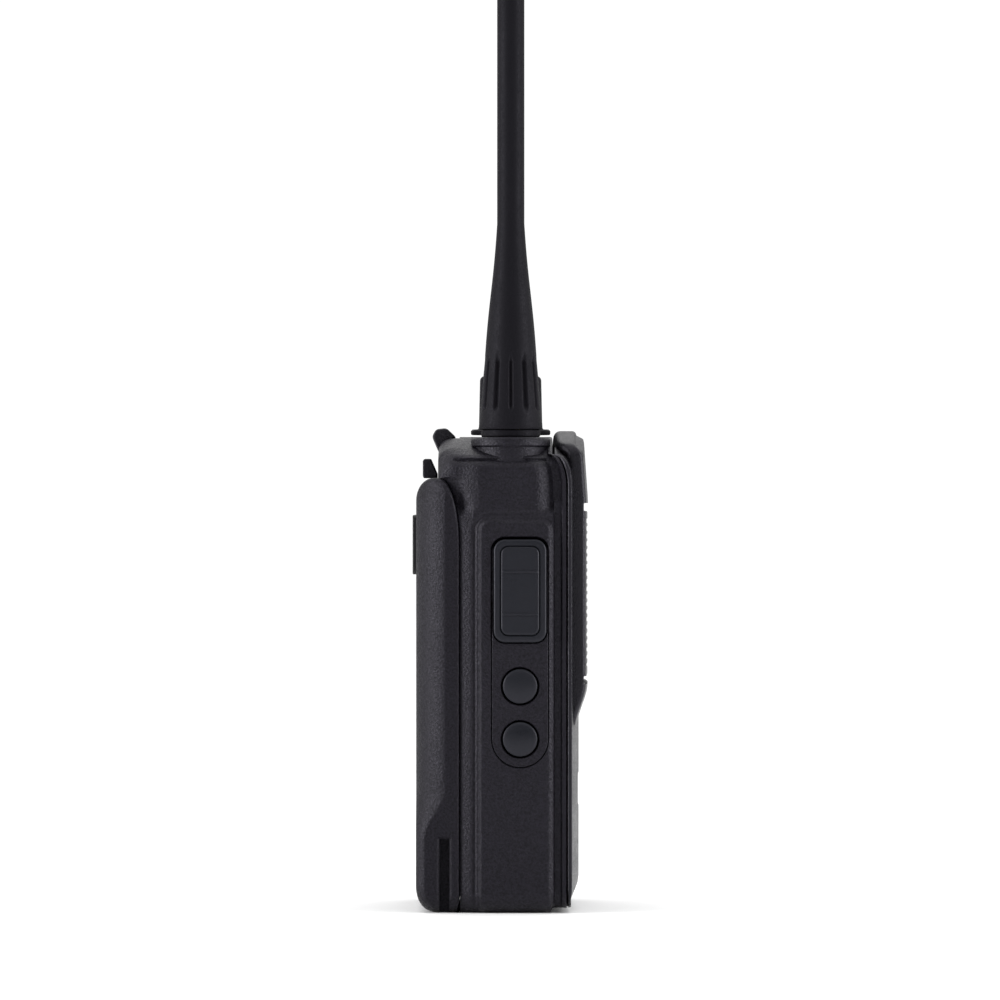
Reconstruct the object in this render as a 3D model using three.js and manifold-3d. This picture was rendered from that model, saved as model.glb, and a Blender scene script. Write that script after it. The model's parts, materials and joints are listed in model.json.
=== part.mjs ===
// A hand-held two-way radio: a plastic housing with a trimmed front, three side keys, a screw-on
// whip antenna, two top knobs, a covered accessory jack and a clip-on battery pack.
// Frame: millimetres, +Z up. The origin is the middle of the footprint, on the standing surface.
// The front faces -Y, the battery is at +Y, the talk key is on the -X side.
import * as THREE from "three";
import { mergeVertices } from "three/addons/utils/BufferGeometryUtils.js";
import Module from "manifold-3d";

const wasm = await Module();
wasm.setup();

// ---------------------------------------------------------------- driving sizes
const gap = 0.3; // between fixed pieces
const slip = 0.4; // around pieces that move

// The stack from the front face to the clip rail.
const grilleCrown = 0.95; // middle of the grille ahead of its edges
const blockProud = 3.25; // speaker block ahead of the rim
const rimDepth = 1.35; // trim rim ahead of the housing seam
const housingDepth = 26.65; // front seam to battery seam
const packDepth = 10.7; // battery pack
const railProud = 1.0; // clip rail on the battery's back

// The housing.
const bodyWidth = 59; // over the side grips
const bodyHeight = 119; // to the crown of the top
const crownRadius = 80; // of the top, seen from the front
const topCorner = 4; // fillet between top and sides
const bottomCorner = 5;
const floorWall = 2.6; // bottom and top walls
const rimWall = 1.4; // thinnest side wall, at the rear rim
const gripProud = 0.6; // side grip above the side wall
const topWallDepth = 5.7; // wall between cavity and battery, above the rear opening
const rearTaper = 1.3; // how far the rear edge is drawn in
const gripHeight = 98; // top end of the side grip
const frontChannel = { depth: 0.7, width: 2.4, lip: 1.4 }; // groove behind the front seam
const noseRadius = 5; // front edges, seen from the side
const stepHeight = 1.5; // the front of the base stands clear by this
const stepFrom = 4.7; // how far behind the seam that step starts

// The shoulder over the battery.
const shoulderReach = 5.5; // behind the battery seam
const shoulderDrop = 10.3; // its lower edge, below the crown
const shoulderSweep = 16.7; // height of the curve that runs down to the battery seam
const shoulderRound = 3.2;

// Top controls, from the talk-key side to the other.
const controlsAhead = 1; // switch bodies ahead of the cavity's rear wall
const antennaX = -18.5;
const channelX = 1.8;
const volumeX = 20;
const bossRadius = 10.5;
const bossSink = 0.25; // boss top below the crown
const collar = { radius: 7.4, height: 1.85 };
const antenna = { baseRadius: 7.75, rodRadius: 3.3, length: 168, boreRadius: 4.6, boreDepth: 9 };
const channelKnob = { radius: 7.85, height: 13.6, skirtRadius: 10.1, skirtHeight: 1.4 };
const volumeKnob = { radius: 6.4, height: 11.5, skirtRadius: 7.4, skirtHeight: 1.2 };
const knobClear = 0.5; // skirts above the crowned top
const shaftRadius = 3;
const nutRadius = 5;
const nutHeight = 1.5;
const channelBody = { half: 6, depth: 7 };
const volumeBody = { half: 5.2, depth: 6 };

// Side keys.
const keyWidth = 14; // opening in the housing wall
const keyBottom = 36.4;
const ptt = { bottom: 67.1, height: 26.5, corner: 3.2, travel: 1.2 };
const pttPad = { inset: 1.7, proud: 0.45 };
const button = { radius: 4.3, proud: 0.9, travel: 0.9, upperZ: 56.6, lowerZ: 43.4 };
const sideProud = 1.5; // talk key and jack cover beyond the grips
const bezelThickness = 1.8;
const sealThickness = 1.15;
const sealMargin = 0.8; // seal beyond the opening, front and rear
const sealClear = 0.1; // seal ahead of the screw posts
const switchHeight = 1.1;
const sideBoardThickness = 0.8;

// Accessory jack on the other side.
const jack = { bottom: 70, height: 26, width: 12.5, recess: 1.2, corner: 3, open: 22 };
const jackSpacing = 9.5;
const jackRadii = [1.35, 1.85]; // small and large plug sleeves

// Front trim.
const block = { inset: 4.5, chinBottom: 47.5, chinTop: 57, notch: 2, notchDepth: 0.95 };
const grille = { bottom: 59, height: 41.2, halfWidth: 20.5, thickness: 1.7, slots: 20, slotShare: 0.5 };
const visor = { rise: 1.6, knobGap: 0.75, lean: 1.25, round: 1.6 };
const lowerCrown = 1.4; // lower face ahead of the rim, in the middle
const plugDepth = 1.75; // how far the trim enters the housing
const plate = { z: 30, width: 26, height: 9, depth: 0.35 }; // blank recess for a name
const micX = -12;
const micZ = 17;
const micHole = 0.75;
const led = { x: 15, below: 9, width: 6, height: 1.8, depth: 1.6 };

// Speaker.
const speaker = { radius: 19, depth: 5.4, magnetRadius: 9, magnetDepth: 4.2 };

// Chassis, board and shields.
const chassis = { thickness: 2.4, inset: 2.2, rib: 1.5, ribs: 7 };
const gasketWidth = 1.5;
const boardThickness = 1.2;
const postDepth = 2.2;
const postWidth = 5.6;
const shieldDepth = 2.8;
const screwRadius = 1.25;
const screwHead = 2.4;

// Battery.
const packInset = 0.5; // each side of the pack inside the grips
const packTopGap = 0.2; // pack top below the shoulder's edge
const packRound = 6.8; // rear vertical edges
const packFootRound = 3.5; // the same edges at the foot
const packFoot = 18.5; // height of the boxier foot
const packFootBlend = 12; // height of the blend above it
const packWall = 1.5;
const packBottomRound = 4.6;
const slot = { width: 3, depth: 2.2, fromBack: 5.9 }; // charger guide on each side
const lidThickness = 1.2;
const tongue = { x: 9, width: 9, height: 2.2, z: 7.5, reach: 3.4 };
const cellClear = 0.7; // cells ahead of the pack's rear wall
const packTopRound = 4.2;
const contactZ = 24;
const contactSpacing = 7;
const rail = { halfWidth: 14, bottom: 84.25, height: 15, ramp: 7 };
const railScrewX = 9.5;
const catchTab = { halfWidth: 9, depth: 3.7, height: 5.9 };

// Battery latch.
const latch = {
  halfWidth: 7.6, pinRadius: 0.8, tabLength: 4.2, tabWidth: 3.4, lean: 28, coilRadius: 1.35, coilHalf: 2.3,
};

// ---------------------------------------------------------------- worked-out places
const yFront = -(grilleCrown + blockProud + rimDepth + housingDepth + gap + packDepth + railProud) / 2;
const yBlock = yFront + grilleCrown;
const yRim = yBlock + blockProud;
const ySeam = yRim + rimDepth;
const yRear = ySeam + housingDepth;
const yPack = yRear + gap;
const yPackBack = yPack + packDepth;
const yRail = yPackBack + railProud;
const yShoulder = yRear + shoulderReach;
const yChassis = yRear - chassis.inset - chassis.thickness; // front face of the chassis plate
const yPost = yChassis - gap; // rear face of the screw posts
const yCavity = yRear - topWallDepth; // rear wall of the cavity, above the battery opening
const yControls = yCavity - controlsAhead - channelBody.half;
const yVisor = yControls - channelKnob.skirtRadius - visor.knobGap; // rear edge of the visor
const yKeys = yPost - postDepth - sealClear - sealMargin - keyWidth / 2;

const halfBody = bodyWidth / 2;
const halfWall = halfBody - gripProud;
const halfCavity = halfWall - rearTaper - rimWall;
const blockHalf = halfBody - block.inset;
const cavityTop = bodyHeight - floorWall;
const bossTop = bodyHeight - bossSink;
const zShoulder = bodyHeight - shoulderDrop;
const zSweep = zShoulder - shoulderSweep;
const packHeight = zShoulder - packTopGap;

// Height of the crowned top at a distance x from the middle.
const topAt = (x, height = bodyHeight, radius = crownRadius) =>
  height - radius + Math.sqrt(radius ** 2 - x ** 2);

// ---------------------------------------------------------------- solids
const materials = {
  housing: { color: 0x1b1b1d, roughness: 0.62, metalness: 0 },
  trim: { color: 0x18181a, roughness: 0.5, metalness: 0 },
  grille: { color: 0x151517, roughness: 0.45, metalness: 0 },
  key: { color: 0x1c1e21, roughness: 0.5, metalness: 0 },
  rubber: { color: 0x161618, roughness: 0.7, metalness: 0 },
  pack: { color: 0x1b1b1d, roughness: 0.62, metalness: 0 },
  castMetal: { color: 0x4a4a4c, roughness: 0.55, metalness: 0.8 },
  steel: { color: 0xa0a0a2, roughness: 0.3, metalness: 1 },
  brass: { color: 0xc9a64c, roughness: 0.3, metalness: 1 },
  board: { color: 0x14502c, roughness: 0.5, metalness: 0 },
  cell: { color: 0x5a6a80, roughness: 0.45, metalness: 0 },
  mark: { color: 0xe6e6e6, roughness: 0.5, metalness: 0 },
  cone: { color: 0x202020, roughness: 0.9, metalness: 0 },
  lens: { color: 0xd8dce0, roughness: 0.15, metalness: 0 },
};
for (const name of Object.keys(materials)) {
  materials[name] = new THREE.MeshStandardMaterial(materials[name]);
}

// A closed three.js geometry as a manifold-3d solid.
function solid(geometry) {
  const bare = new THREE.BufferGeometry();
  bare.setAttribute("position", geometry.getAttribute("position"));
  bare.setIndex(geometry.index);
  const merged = mergeVertices(bare, 1e-4);
  return new wasm.Manifold(
    new wasm.Mesh({
      numProp: 3,
      vertProperties: merged.getAttribute("position").array,
      triVerts: new Uint32Array(merged.index.array),
    }),
  );
}

// A manifold-3d solid as a three.js geometry.
function geometryOf(made) {
  const mesh = made.getMesh();
  const geometry = new THREE.BufferGeometry();
  geometry.setAttribute("position", new THREE.BufferAttribute(mesh.vertProperties, 3));
  geometry.setIndex(new THREE.BufferAttribute(mesh.triVerts, 1));
  geometry.computeVertexNormals();
  return geometry;
}

// A box between two values on each axis.
function box([x0, x1], [y0, y1], [z0, z1]) {
  const geometry = new THREE.BoxGeometry(x1 - x0, y1 - y0, z1 - z0);
  geometry.translate((x0 + x1) / 2, (y0 + y1) / 2, (z0 + z1) / 2);
  return solid(geometry);
}

// An outline drawn in (Y, Z), (X, Z) or (X, Y), extruded along the third axis.
const axes = {
  x: new THREE.Matrix4().set(0, 0, 1, 0, 1, 0, 0, 0, 0, 1, 0, 0, 0, 0, 0, 1),
  y: new THREE.Matrix4().set(1, 0, 0, 0, 0, 0, -1, 0, 0, 1, 0, 0, 0, 0, 0, 1),
  z: new THREE.Matrix4(),
};

function prism(axis, shape, from, to, curveSegments = 5) {
  const geometry = new THREE.ExtrudeGeometry(shape, { depth: to - from, bevelEnabled: false, curveSegments });
  geometry.translate(0, 0, axis === "y" ? -to : from);
  geometry.applyMatrix4(axes[axis]);
  if (geometry.index) return solid(geometry);
  return solid(mergeVertices(geometry.deleteAttribute("normal").deleteAttribute("uv")));
}

// A profile of [radius, along] points turned about an axis through (a, b), given in X, Y, Z order.
function turned(axis, [a, b], profile, sides = 24) {
  const points = profile.map(([radius, along]) => new THREE.Vector2(radius, along));
  if (THREE.ShapeUtils.area(points) < 0) points.reverse();
  const geometry = new THREE.LatheGeometry(points, sides);
  if (axis === "z") geometry.rotateX(Math.PI / 2).translate(a, b, 0);
  if (axis === "x") geometry.rotateZ(-Math.PI / 2).translate(0, a, b);
  if (axis === "y") geometry.translate(a, 0, b);
  return solid(geometry);
}

const rod = (axis, centre, radius, from, to, sides = 16) =>
  turned(axis, centre, [[0, from], [radius, from], [radius, to], [0, to]], sides);

const ring = (axis, centre, inner, outer, from, to, sides = 24) =>
  turned(axis, centre, [[inner, from], [outer, from], [outer, to], [inner, to], [inner, from]], sides);

// A straight-sided outline through points.
const polygon = (points) => new THREE.Shape(points.map(([u, v]) => new THREE.Vector2(u, v)));

// A rectangle between two corners with one corner radius.
function roundedRect(u0, v0, u1, v1, radius) {
  const shape = new THREE.Shape();
  shape.absarc(u1 - radius, v0 + radius, radius, -Math.PI / 2, 0);
  shape.absarc(u1 - radius, v1 - radius, radius, 0, Math.PI / 2);
  shape.absarc(u0 + radius, v1 - radius, radius, Math.PI / 2, Math.PI);
  shape.absarc(u0 + radius, v0 + radius, radius, Math.PI, 1.5 * Math.PI);
  return shape;
}

const radio = new THREE.Group();

// One named node. made is in the radio's frame unless at is given.
function piece(name, made, material, at = [0, 0, 0], parent = radio) {
  const mesh = new THREE.Mesh(geometryOf(made), materials[material]);
  mesh.name = name;
  mesh.position.set(...at);
  parent.add(mesh);
  return mesh;
}

const mirrored = (build) => build(-1).add(build(1));
const span = (a, b) => [Math.min(a, b), Math.max(a, b)];

// ---------------------------------------------------------------- shared outlines
// Front view of the body: straight sides, small fillets and a crowned top, drawn in by inset.
function bodyOutline(inset, half = halfBody, bottom = 0) {
  const w = half - inset;
  const floor = bottom + inset;
  const r = Math.max(topCorner - inset, 1);
  const low = Math.max(bottomCorner - inset, 1);
  const big = crownRadius - inset;
  const centreZ = bodyHeight - crownRadius;
  const cornerZ = centreZ + Math.sqrt((big - r) ** 2 - (w - r) ** 2);
  const turn = Math.atan2(cornerZ - centreZ, w - r);
  const shape = new THREE.Shape();
  shape.absarc(w - low, floor + low, low, -Math.PI / 2, 0);
  shape.absarc(w - r, cornerZ, r, 0, turn);
  shape.absarc(0, centreZ, big, turn, Math.PI - turn);
  shape.absarc(-w + r, cornerZ, r, Math.PI - turn, Math.PI);
  shape.absarc(-w + low, floor + low, low, Math.PI, 1.5 * Math.PI);
  return shape;
}

// Points of the curve between housing shoulder and battery, from the seam up to the shoulder's lower edge.
function sweepPoints(offset, steps = 5) {
  const points = [];
  for (let i = 0; i <= steps; i += 1) {
    const turn = (i / steps) * (Math.PI / 2);
    const y = yRear + (shoulderReach - offset) * (1 - Math.cos(turn)) + offset;
    points.push([y, zSweep - offset + shoulderSweep * Math.sin(turn)]);
  }
  return points;
}

// Side view of the housing, grown by grow on its front and top.
function housingProfile(grow) {
  const r = noseRadius;
  const front = ySeam - grow;
  const top = bodyHeight + grow;
  const shape = new THREE.Shape();
  shape.moveTo(yRear, 0);
  for (const [y, z] of sweepPoints(0)) shape.lineTo(y, z);
  shape.lineTo(yShoulder, top - shoulderRound);
  shape.absarc(yShoulder - shoulderRound, top - shoulderRound, shoulderRound, 0, Math.PI / 2);
  const noseCentre = yRim + r;
  const reach = Math.acos((noseCentre - front) / (r + grow));
  shape.absarc(noseCentre, bodyHeight - r, r + grow, Math.PI / 2, Math.PI - reach);
  shape.lineTo(front, stepHeight);
  shape.lineTo(ySeam + stepFrom - 1, stepHeight);
  shape.lineTo(ySeam + stepFrom, 0);
  return shape;
}

// Plan of the housing on both sides: rear edge drawn in, flat side, channel and lip at the front.
function housingPlan() {
  const bend = yRear - 3.2;
  const channelRear = ySeam + frontChannel.lip + frontChannel.width;
  const channelFront = ySeam + frontChannel.lip;
  const half = [
    [halfWall - rearTaper, yRear],
    [halfWall - 0.25, bend],
    [halfWall, bend - 1.3],
    [halfWall, channelRear + 0.5],
    [halfWall - frontChannel.depth, channelRear - 0.3],
    [halfWall - frontChannel.depth, channelFront],
    [halfWall, channelFront - 0.5],
    [halfWall, ySeam - 1],
  ];
  const right = [[halfWall - rearTaper, yShoulder + 1], ...half];
  const left = right.map(([x, y]) => [-x, y]).reverse();
  return polygon([...left, ...right].reverse());
}

// The opening for the side keys: square shoulders filleted at the top, a half circle at the foot.
function keyOutline(grow, bottom = keyBottom, top = ptt.bottom + ptt.height) {
  const half = keyWidth / 2 + grow;
  const r = ptt.corner + grow;
  const shape = new THREE.Shape();
  shape.absarc(yKeys, bottom + keyWidth / 2, half, Math.PI, 2 * Math.PI);
  shape.absarc(yKeys + half - r, top + grow - r, r, 0, Math.PI / 2);
  shape.absarc(yKeys - half + r, top + grow - r, r, Math.PI / 2, Math.PI);
  return shape;
}

// The talk key's outline, shrunk by inset.
const pttOutline = (inset) =>
  roundedRect(
    yKeys - keyWidth / 2 + inset,
    ptt.bottom + inset,
    yKeys + keyWidth / 2 - inset,
    ptt.bottom + ptt.height - inset,
    ptt.corner - inset * 0.5,
  );

const yJack = yKeys;
const jackOutline = (inset) =>
  roundedRect(
    yJack - jack.width / 2 + inset,
    jack.bottom + inset,
    yJack + jack.width / 2 - inset,
    jack.bottom + jack.height - inset,
    jack.corner,
  );

// ---------------------------------------------------------------- housing
const postPlaces = [
  [-1, 8.5],
  [1, 8.5],
  [-1, zSweep - 8.5],
  [1, zSweep - 8.5],
];
const plateHalf = halfCavity - gap - gasketWidth - gap;
const postX = plateHalf - screwHead - 1;
const pilotFloor = 0.6; // solid end of each post
const headSink = 0.95; // screw heads below the plate's rear face
const rearOpeningTop = zSweep - 2;
const pinY = yShoulder - 2.6;
const pinZ = zShoulder + 4.6;
const latchBay = { front: pinY - 2.3, bottom: zShoulder - 2 };

function housing() {
  const envelope = prism("y", bodyOutline(0), ySeam, yShoulder)
    .intersect(prism("x", housingProfile(0), -halfBody, halfBody))
    .intersect(prism("z", housingPlan(), 0, bodyHeight));
  const grips = mirrored((side) => {
    const rearEdge = yRear - 5.1;
    const frontEdge = ySeam + frontChannel.lip + frontChannel.width + 0.2;
    const grip = polygon([
      [side * (halfWall - 1), frontEdge],
      [side * halfBody, frontEdge + gripProud],
      [side * halfBody, rearEdge - gripProud],
      [side * (halfWall - 1), rearEdge + 1],
    ]);
    return prism("z", grip, 0, gripHeight);
  })
    .intersect(prism("y", bodyOutline(0), ySeam, yRear))
    .intersect(prism("x", housingProfile(0), -halfBody, halfBody));
  const bossSpan = [Math.max(ySeam, yVisor + gap), yRear];
  const bossRoom = box([-halfBody, halfBody], bossSpan, [cavityTop - 5, bossTop + 1]);
  const boss = turned("z", [antennaX, yControls], [
    [0, cavityTop - 4],
    [bossRadius, cavityTop - 4],
    [bossRadius, bossTop - 1.2],
    [bossRadius - 1.2, bossTop],
    [0, bossTop],
  ]).intersect(bossRoom);
  const cavity = prism("y", bodyOutline(floorWall, halfCavity + floorWall), ySeam - 1, yCavity);
  const rearOpening = box([-halfCavity, halfCavity], [yRear - 8, yRear + 1], [floorWall, rearOpeningTop]);
  const keys = prism("x", keyOutline(gap), -halfBody - 1, -halfCavity + 1);
  const jackRecess = prism("x", jackOutline(-slip), halfBody - jack.recess, halfBody + 1);
  const jackOpening = box(
    [halfCavity - 1, halfBody],
    [yJack - 4 - gap, yJack + 4 + gap],
    [jack.bottom + 2 - gap, jack.bottom + jack.open + gap],
  );
  const latchSlot = box(
    [-latch.halfWidth - slip, latch.halfWidth + slip],
    [latchBay.front, yShoulder + 1],
    [latchBay.bottom, bodyHeight + 1],
  );
  const pinHole = rod("x", [pinY, pinZ], latch.pinRadius + 0.1, -latch.halfWidth - 4, latch.halfWidth + 4);
  let made = envelope.add(grips).add(boss).subtract(cavity).subtract(rearOpening);
  for (const [side, z] of postPlaces) {
    const post = box(
      span(side * (halfCavity + 0.5), side * (postX - postWidth / 2)),
      [yPost - postDepth, yPost],
      [z - postWidth / 2, z + postWidth / 2],
    );
    const pilot = rod("y", [side * postX, z], screwRadius + 0.1, yPost - postDepth + pilotFloor, yPost + 1, 10);
    made = made.add(post).subtract(pilot);
  }
  for (const [x, radius] of [
    [antennaX, shaftRadius + gap],
    [channelX, shaftRadius + slip],
    [volumeX, shaftRadius + slip],
  ]) {
    made = made.subtract(rod("z", [x, yControls], radius, cavityTop - 8, bodyHeight + 4));
  }
  return made.subtract(keys).subtract(jackRecess).subtract(jackOpening).subtract(latchSlot).subtract(pinHole);
}
piece("main_housing", housing(), "housing");

// ---------------------------------------------------------------- front trim, grille, light
const zVisor = bodyHeight + visor.rise;
const grilleTop = grille.bottom + grille.height;
const yGrilleBack = yBlock + grille.thickness;

// Side view of the raised block: chin, notches above and below the grille, and the leaning visor.
function blockProfile() {
  const shape = new THREE.Shape();
  const notchY = yBlock + block.notchDepth;
  shape.moveTo(yVisor, bodyHeight - 12);
  shape.lineTo(yRim + 0.4, bodyHeight - 12);
  shape.lineTo(yRim + 0.4, block.chinBottom - 1);
  shape.lineTo(yRim - 0.3, block.chinBottom);
  shape.quadraticCurveTo(yRim - 1.1, block.chinBottom + 3, yBlock, block.chinTop - 1.2);
  shape.lineTo(yBlock, block.chinTop);
  shape.lineTo(notchY, block.chinTop);
  shape.lineTo(notchY, block.chinTop + block.notch);
  shape.lineTo(yBlock, grille.bottom);
  shape.lineTo(yBlock, grilleTop);
  shape.lineTo(notchY, grilleTop);
  shape.lineTo(notchY, grilleTop + block.notch);
  shape.lineTo(yFront + 0.2, grilleTop + block.notch);
  shape.lineTo(yFront + 0.3, grilleTop + block.notch + 1.4);
  shape.lineTo(yFront + visor.lean, bodyHeight - 1.5);
  shape.lineTo(yFront + visor.lean + visor.round, zVisor);
  shape.lineTo(yVisor - 0.7, zVisor);
  shape.lineTo(yVisor, zVisor - 0.8);
  return shape;
}

// Plan of a face crowned by rise over half a width, from the line y0 back to y1.
function crownedPlan(half, y0, y1, rise, steps = 8) {
  const radius = (half ** 2 + rise ** 2) / (2 * rise);
  const points = [[half, y1], [-half, y1]];
  for (let i = 0; i <= steps; i += 1) {
    const x = -half + (2 * half * i) / steps;
    points.push([x, y0 - (Math.sqrt(radius ** 2 - x ** 2) - (radius - rise))]);
  }
  return polygon(points.reverse());
}

function trim() {
  const rimProfile = new THREE.Shape();
  const low = noseRadius - 1;
  rimProfile.moveTo(ySeam + noseRadius, stepHeight);
  rimProfile.lineTo(ySeam + noseRadius, bodyHeight);
  rimProfile.absarc(yRim + noseRadius, bodyHeight - noseRadius, noseRadius, Math.PI / 2, Math.PI);
  rimProfile.absarc(yRim + low, stepHeight + low, low, Math.PI, 1.5 * Math.PI);
  const rim = prism("y", bodyOutline(0, halfWall), yRim, ySeam - gap)
    .intersect(prism("x", rimProfile, -halfWall, halfWall));
  const lowerPlan = crownedPlan(halfWall - 2.4, yRim + 0.05, ySeam - gap, lowerCrown);
  const lowerSide = roundedRect(yRim - lowerCrown, 3.2, ySeam + 6, block.chinBottom + 8, 3);
  const lower = prism("z", lowerPlan, 4.5, block.chinBottom + 3)
    .intersect(prism("x", lowerSide, -halfWall, halfWall));
  const blockFront = prism("y", bodyOutline(0, blockHalf, block.chinBottom - 3), yFront, yVisor);
  const raised = prism("z", crownedPlan(blockHalf, yBlock, yVisor, grilleCrown * 0.85), 40, zVisor)
    .intersect(prism("x", blockProfile(), -blockHalf, blockHalf))
    .intersect(blockFront.add(box([-blockHalf + 3, blockHalf - 3], [yFront, yVisor], [110, zVisor])));
  const crownCut = prism("y", bodyOutline(-visor.rise, blockHalf), yFront - 1, yVisor + 1);
  const sealReach = keyWidth / 2 + sealMargin + gap;
  const sealRoom = box(
    [-halfBody, -halfCavity + sealThickness + 1],
    [yKeys - sealReach, yKeys + sealReach],
    [keyBottom - 2, ptt.bottom + ptt.height + 2],
  );
  const plug = prism("y", bodyOutline(floorWall + gap, halfCavity + floorWall), yRim + 0.3, ySeam + plugDepth)
    .subtract(sealRoom);
  const housingClear = prism("y", bodyOutline(-gap), ySeam - gap, yShoulder)
    .intersect(prism("x", housingProfile(gap), -halfBody - 1, halfBody + 1))
    .subtract(prism("y", bodyOutline(floorWall + gap, halfCavity + floorWall), ySeam - 2, yRear));
  const window = box(
    [-grille.halfWidth - gap, grille.halfWidth + gap],
    [yFront - 1, ySeam + plugDepth + 1],
    [grille.bottom - gap, grilleTop + gap],
  );
  const visorPocket = box([-17, 17], [yBlock + 1.6, ySeam + plugDepth + 1], [grilleTop + 3, bodyHeight - 6.5]);
  const chinPocket = box([-19, 19], [yRim, ySeam + plugDepth + 1], [7, grille.bottom - 3]);
  const name = box(
    [-plate.width / 2, plate.width / 2],
    [yFront, yRim - lowerCrown + plate.depth],
    [plate.z - plate.height / 2, plate.z + plate.height / 2],
  );
  const ledSeat = box(
    [led.x - led.width / 2 - gap, led.x + led.width / 2 + gap],
    [yFront - 1, yBlock + led.depth + gap],
    [zLed - led.height / 2 - gap, zLed + led.height / 2 + gap],
  );
  return rim
    .add(lower)
    .add(raised.intersect(crownCut))
    .add(plug)
    .subtract(housingClear)
    .subtract(window)
    .subtract(visorPocket)
    .subtract(chinPocket)
    .subtract(name)
    .subtract(ledSeat)
    .subtract(rod("y", [micX, micZ], micHole, yFront, ySeam + plugDepth + 1, 10));
}
const zLed = bodyHeight - led.below;
piece("front_trim", trim(), "trim");

function grilleInsert() {
  const body = prism(
    "z",
    crownedPlan(grille.halfWidth, yBlock, yGrilleBack, grilleCrown),
    grille.bottom,
    grilleTop,
  );
  const pitch = (grille.height - 3) / grille.slots;
  let made = body;
  for (let i = 0; i < grille.slots; i += 1) {
    const z = grille.bottom + 1.5 + pitch * (i + 0.5);
    const half = (pitch * grille.slotShare) / 2;
    made = made.subtract(
      box([-grille.halfWidth + 1.6, grille.halfWidth - 1.6], [yFront - 1, yGrilleBack + 1], [z - half, z + half]),
    );
  }
  return made;
}
piece("grille_insert", grilleInsert(), "grille");
piece(
  "speaker_mesh",
  box(
    [-grille.halfWidth, grille.halfWidth],
    [yGrilleBack + 0.1, yGrilleBack + 0.5],
    [grille.bottom, grilleTop],
  ),
  "rubber",
);
piece(
  "led_lens",
  box(
    [led.x - led.width / 2, led.x + led.width / 2],
    [yBlock - 0.25, yBlock + led.depth],
    [zLed - led.height / 2, zLed + led.height / 2],
  ),
  "lens",
);

// ---------------------------------------------------------------- speaker and microphone
const zSpeaker = grille.bottom + grille.height / 2;
const ySpeaker = yGrilleBack + 0.5 + gap;
const speakerBack = ySpeaker + speaker.depth;
piece(
  "speaker_frame",
  turned("y", [0, zSpeaker], [
    [speaker.radius - 2, ySpeaker],
    [speaker.radius - 2.4, ySpeaker + 1],
    [speaker.magnetRadius - 3, speakerBack - 0.8],
    [speaker.magnetRadius - 3, speakerBack],
    [speaker.magnetRadius + 2, speakerBack],
    [speaker.radius, ySpeaker + 1.6],
    [speaker.radius, ySpeaker],
    [speaker.radius - 2, ySpeaker],
  ]),
  "steel",
);
piece(
  "speaker_cone",
  turned("y", [0, zSpeaker], [
    [0, ySpeaker + 1.1],
    [4, ySpeaker + 1.5],
    [speaker.radius - 4.4, ySpeaker + 0.2],
    [speaker.radius - 2.7, ySpeaker + 0.4],
    [speaker.radius - 4.4, ySpeaker + 0.7],
    [4, ySpeaker + 2],
    [0, ySpeaker + 1.7],
  ].reverse()),
  "cone",
);
piece(
  "speaker_magnet",
  rod("y", [0, zSpeaker], speaker.magnetRadius, speakerBack + 0.1, speakerBack + 0.1 + speaker.magnetDepth, 24),
  "steel",
);
const yMic = ySeam + plugDepth + gap;
piece("microphone", rod("y", [micX, micZ], 3, yMic, yMic + 2.4, 16), "steel");

// ---------------------------------------------------------------- chassis, gasket, boards, shields
const plateBottom = floorWall + gap + gasketWidth + gap;
const plateTop = rearOpeningTop - gap - gasketWidth - gap;
const yPlateRear = yChassis + chassis.thickness;

function chassisPlate() {
  let made = prism("y", roundedRect(-plateHalf, plateBottom, plateHalf, plateTop, 2), yChassis, yPlateRear);
  const ribZone = plateTop - 14 - (contactZ + 9);
  for (let i = 0; i < chassis.ribs; i += 1) {
    const z = contactZ + 9 + (ribZone * (i + 0.5)) / chassis.ribs;
    const ribSpan = [yPlateRear - 0.5, yPlateRear + chassis.rib];
    made = made.add(box([-plateHalf + 9, plateHalf - 9], ribSpan, [z - 1, z + 1]));
  }
  for (const [side, z] of postPlaces) {
    made = made.subtract(rod("y", [side * postX, z], screwRadius + 0.15, yChassis - 1, yPlateRear + 1, 10));
    const headHole = rod("y", [side * postX, z], screwHead + 0.25, yPlateRear - headSink, yPlateRear + 3, 14);
    made = made.subtract(headHole);
  }
  const contactSeat = box(
    [-contactSpacing - 4 - gap, contactSpacing + 4 + gap],
    [yChassis - 1, yRear],
    [contactZ - 4 - gap, contactZ + 4 + gap],
  );
  const tongueSockets = mirrored((side) =>
    box(
      span(side * (tongue.x - tongue.width / 2 - slip), side * (tongue.x + tongue.width / 2 + slip)),
      [yChassis + 0.4, yRear],
      [tongue.z - tongue.height / 2 - slip, tongue.z + tongue.height / 2 + slip],
    ),
  );
  return made.subtract(contactSeat).subtract(tongueSockets);
}
piece("rear_chassis", chassisPlate(), "castMetal");

function gasket() {
  const g = gasketWidth;
  const reach = gap + g;
  const outer = roundedRect(-plateHalf - reach, plateBottom - reach, plateHalf + reach, plateTop + reach, 1);
  const hole = roundedRect(-plateHalf - gap, plateBottom - gap, plateHalf + gap, plateTop + gap, 2.2);
  outer.holes.push(new THREE.Path(hole.getPoints(5)));
  return prism("y", outer, yChassis + 0.3, yChassis + 0.3 + g);
}
piece("chassis_gasket", gasket(), "rubber");

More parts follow.
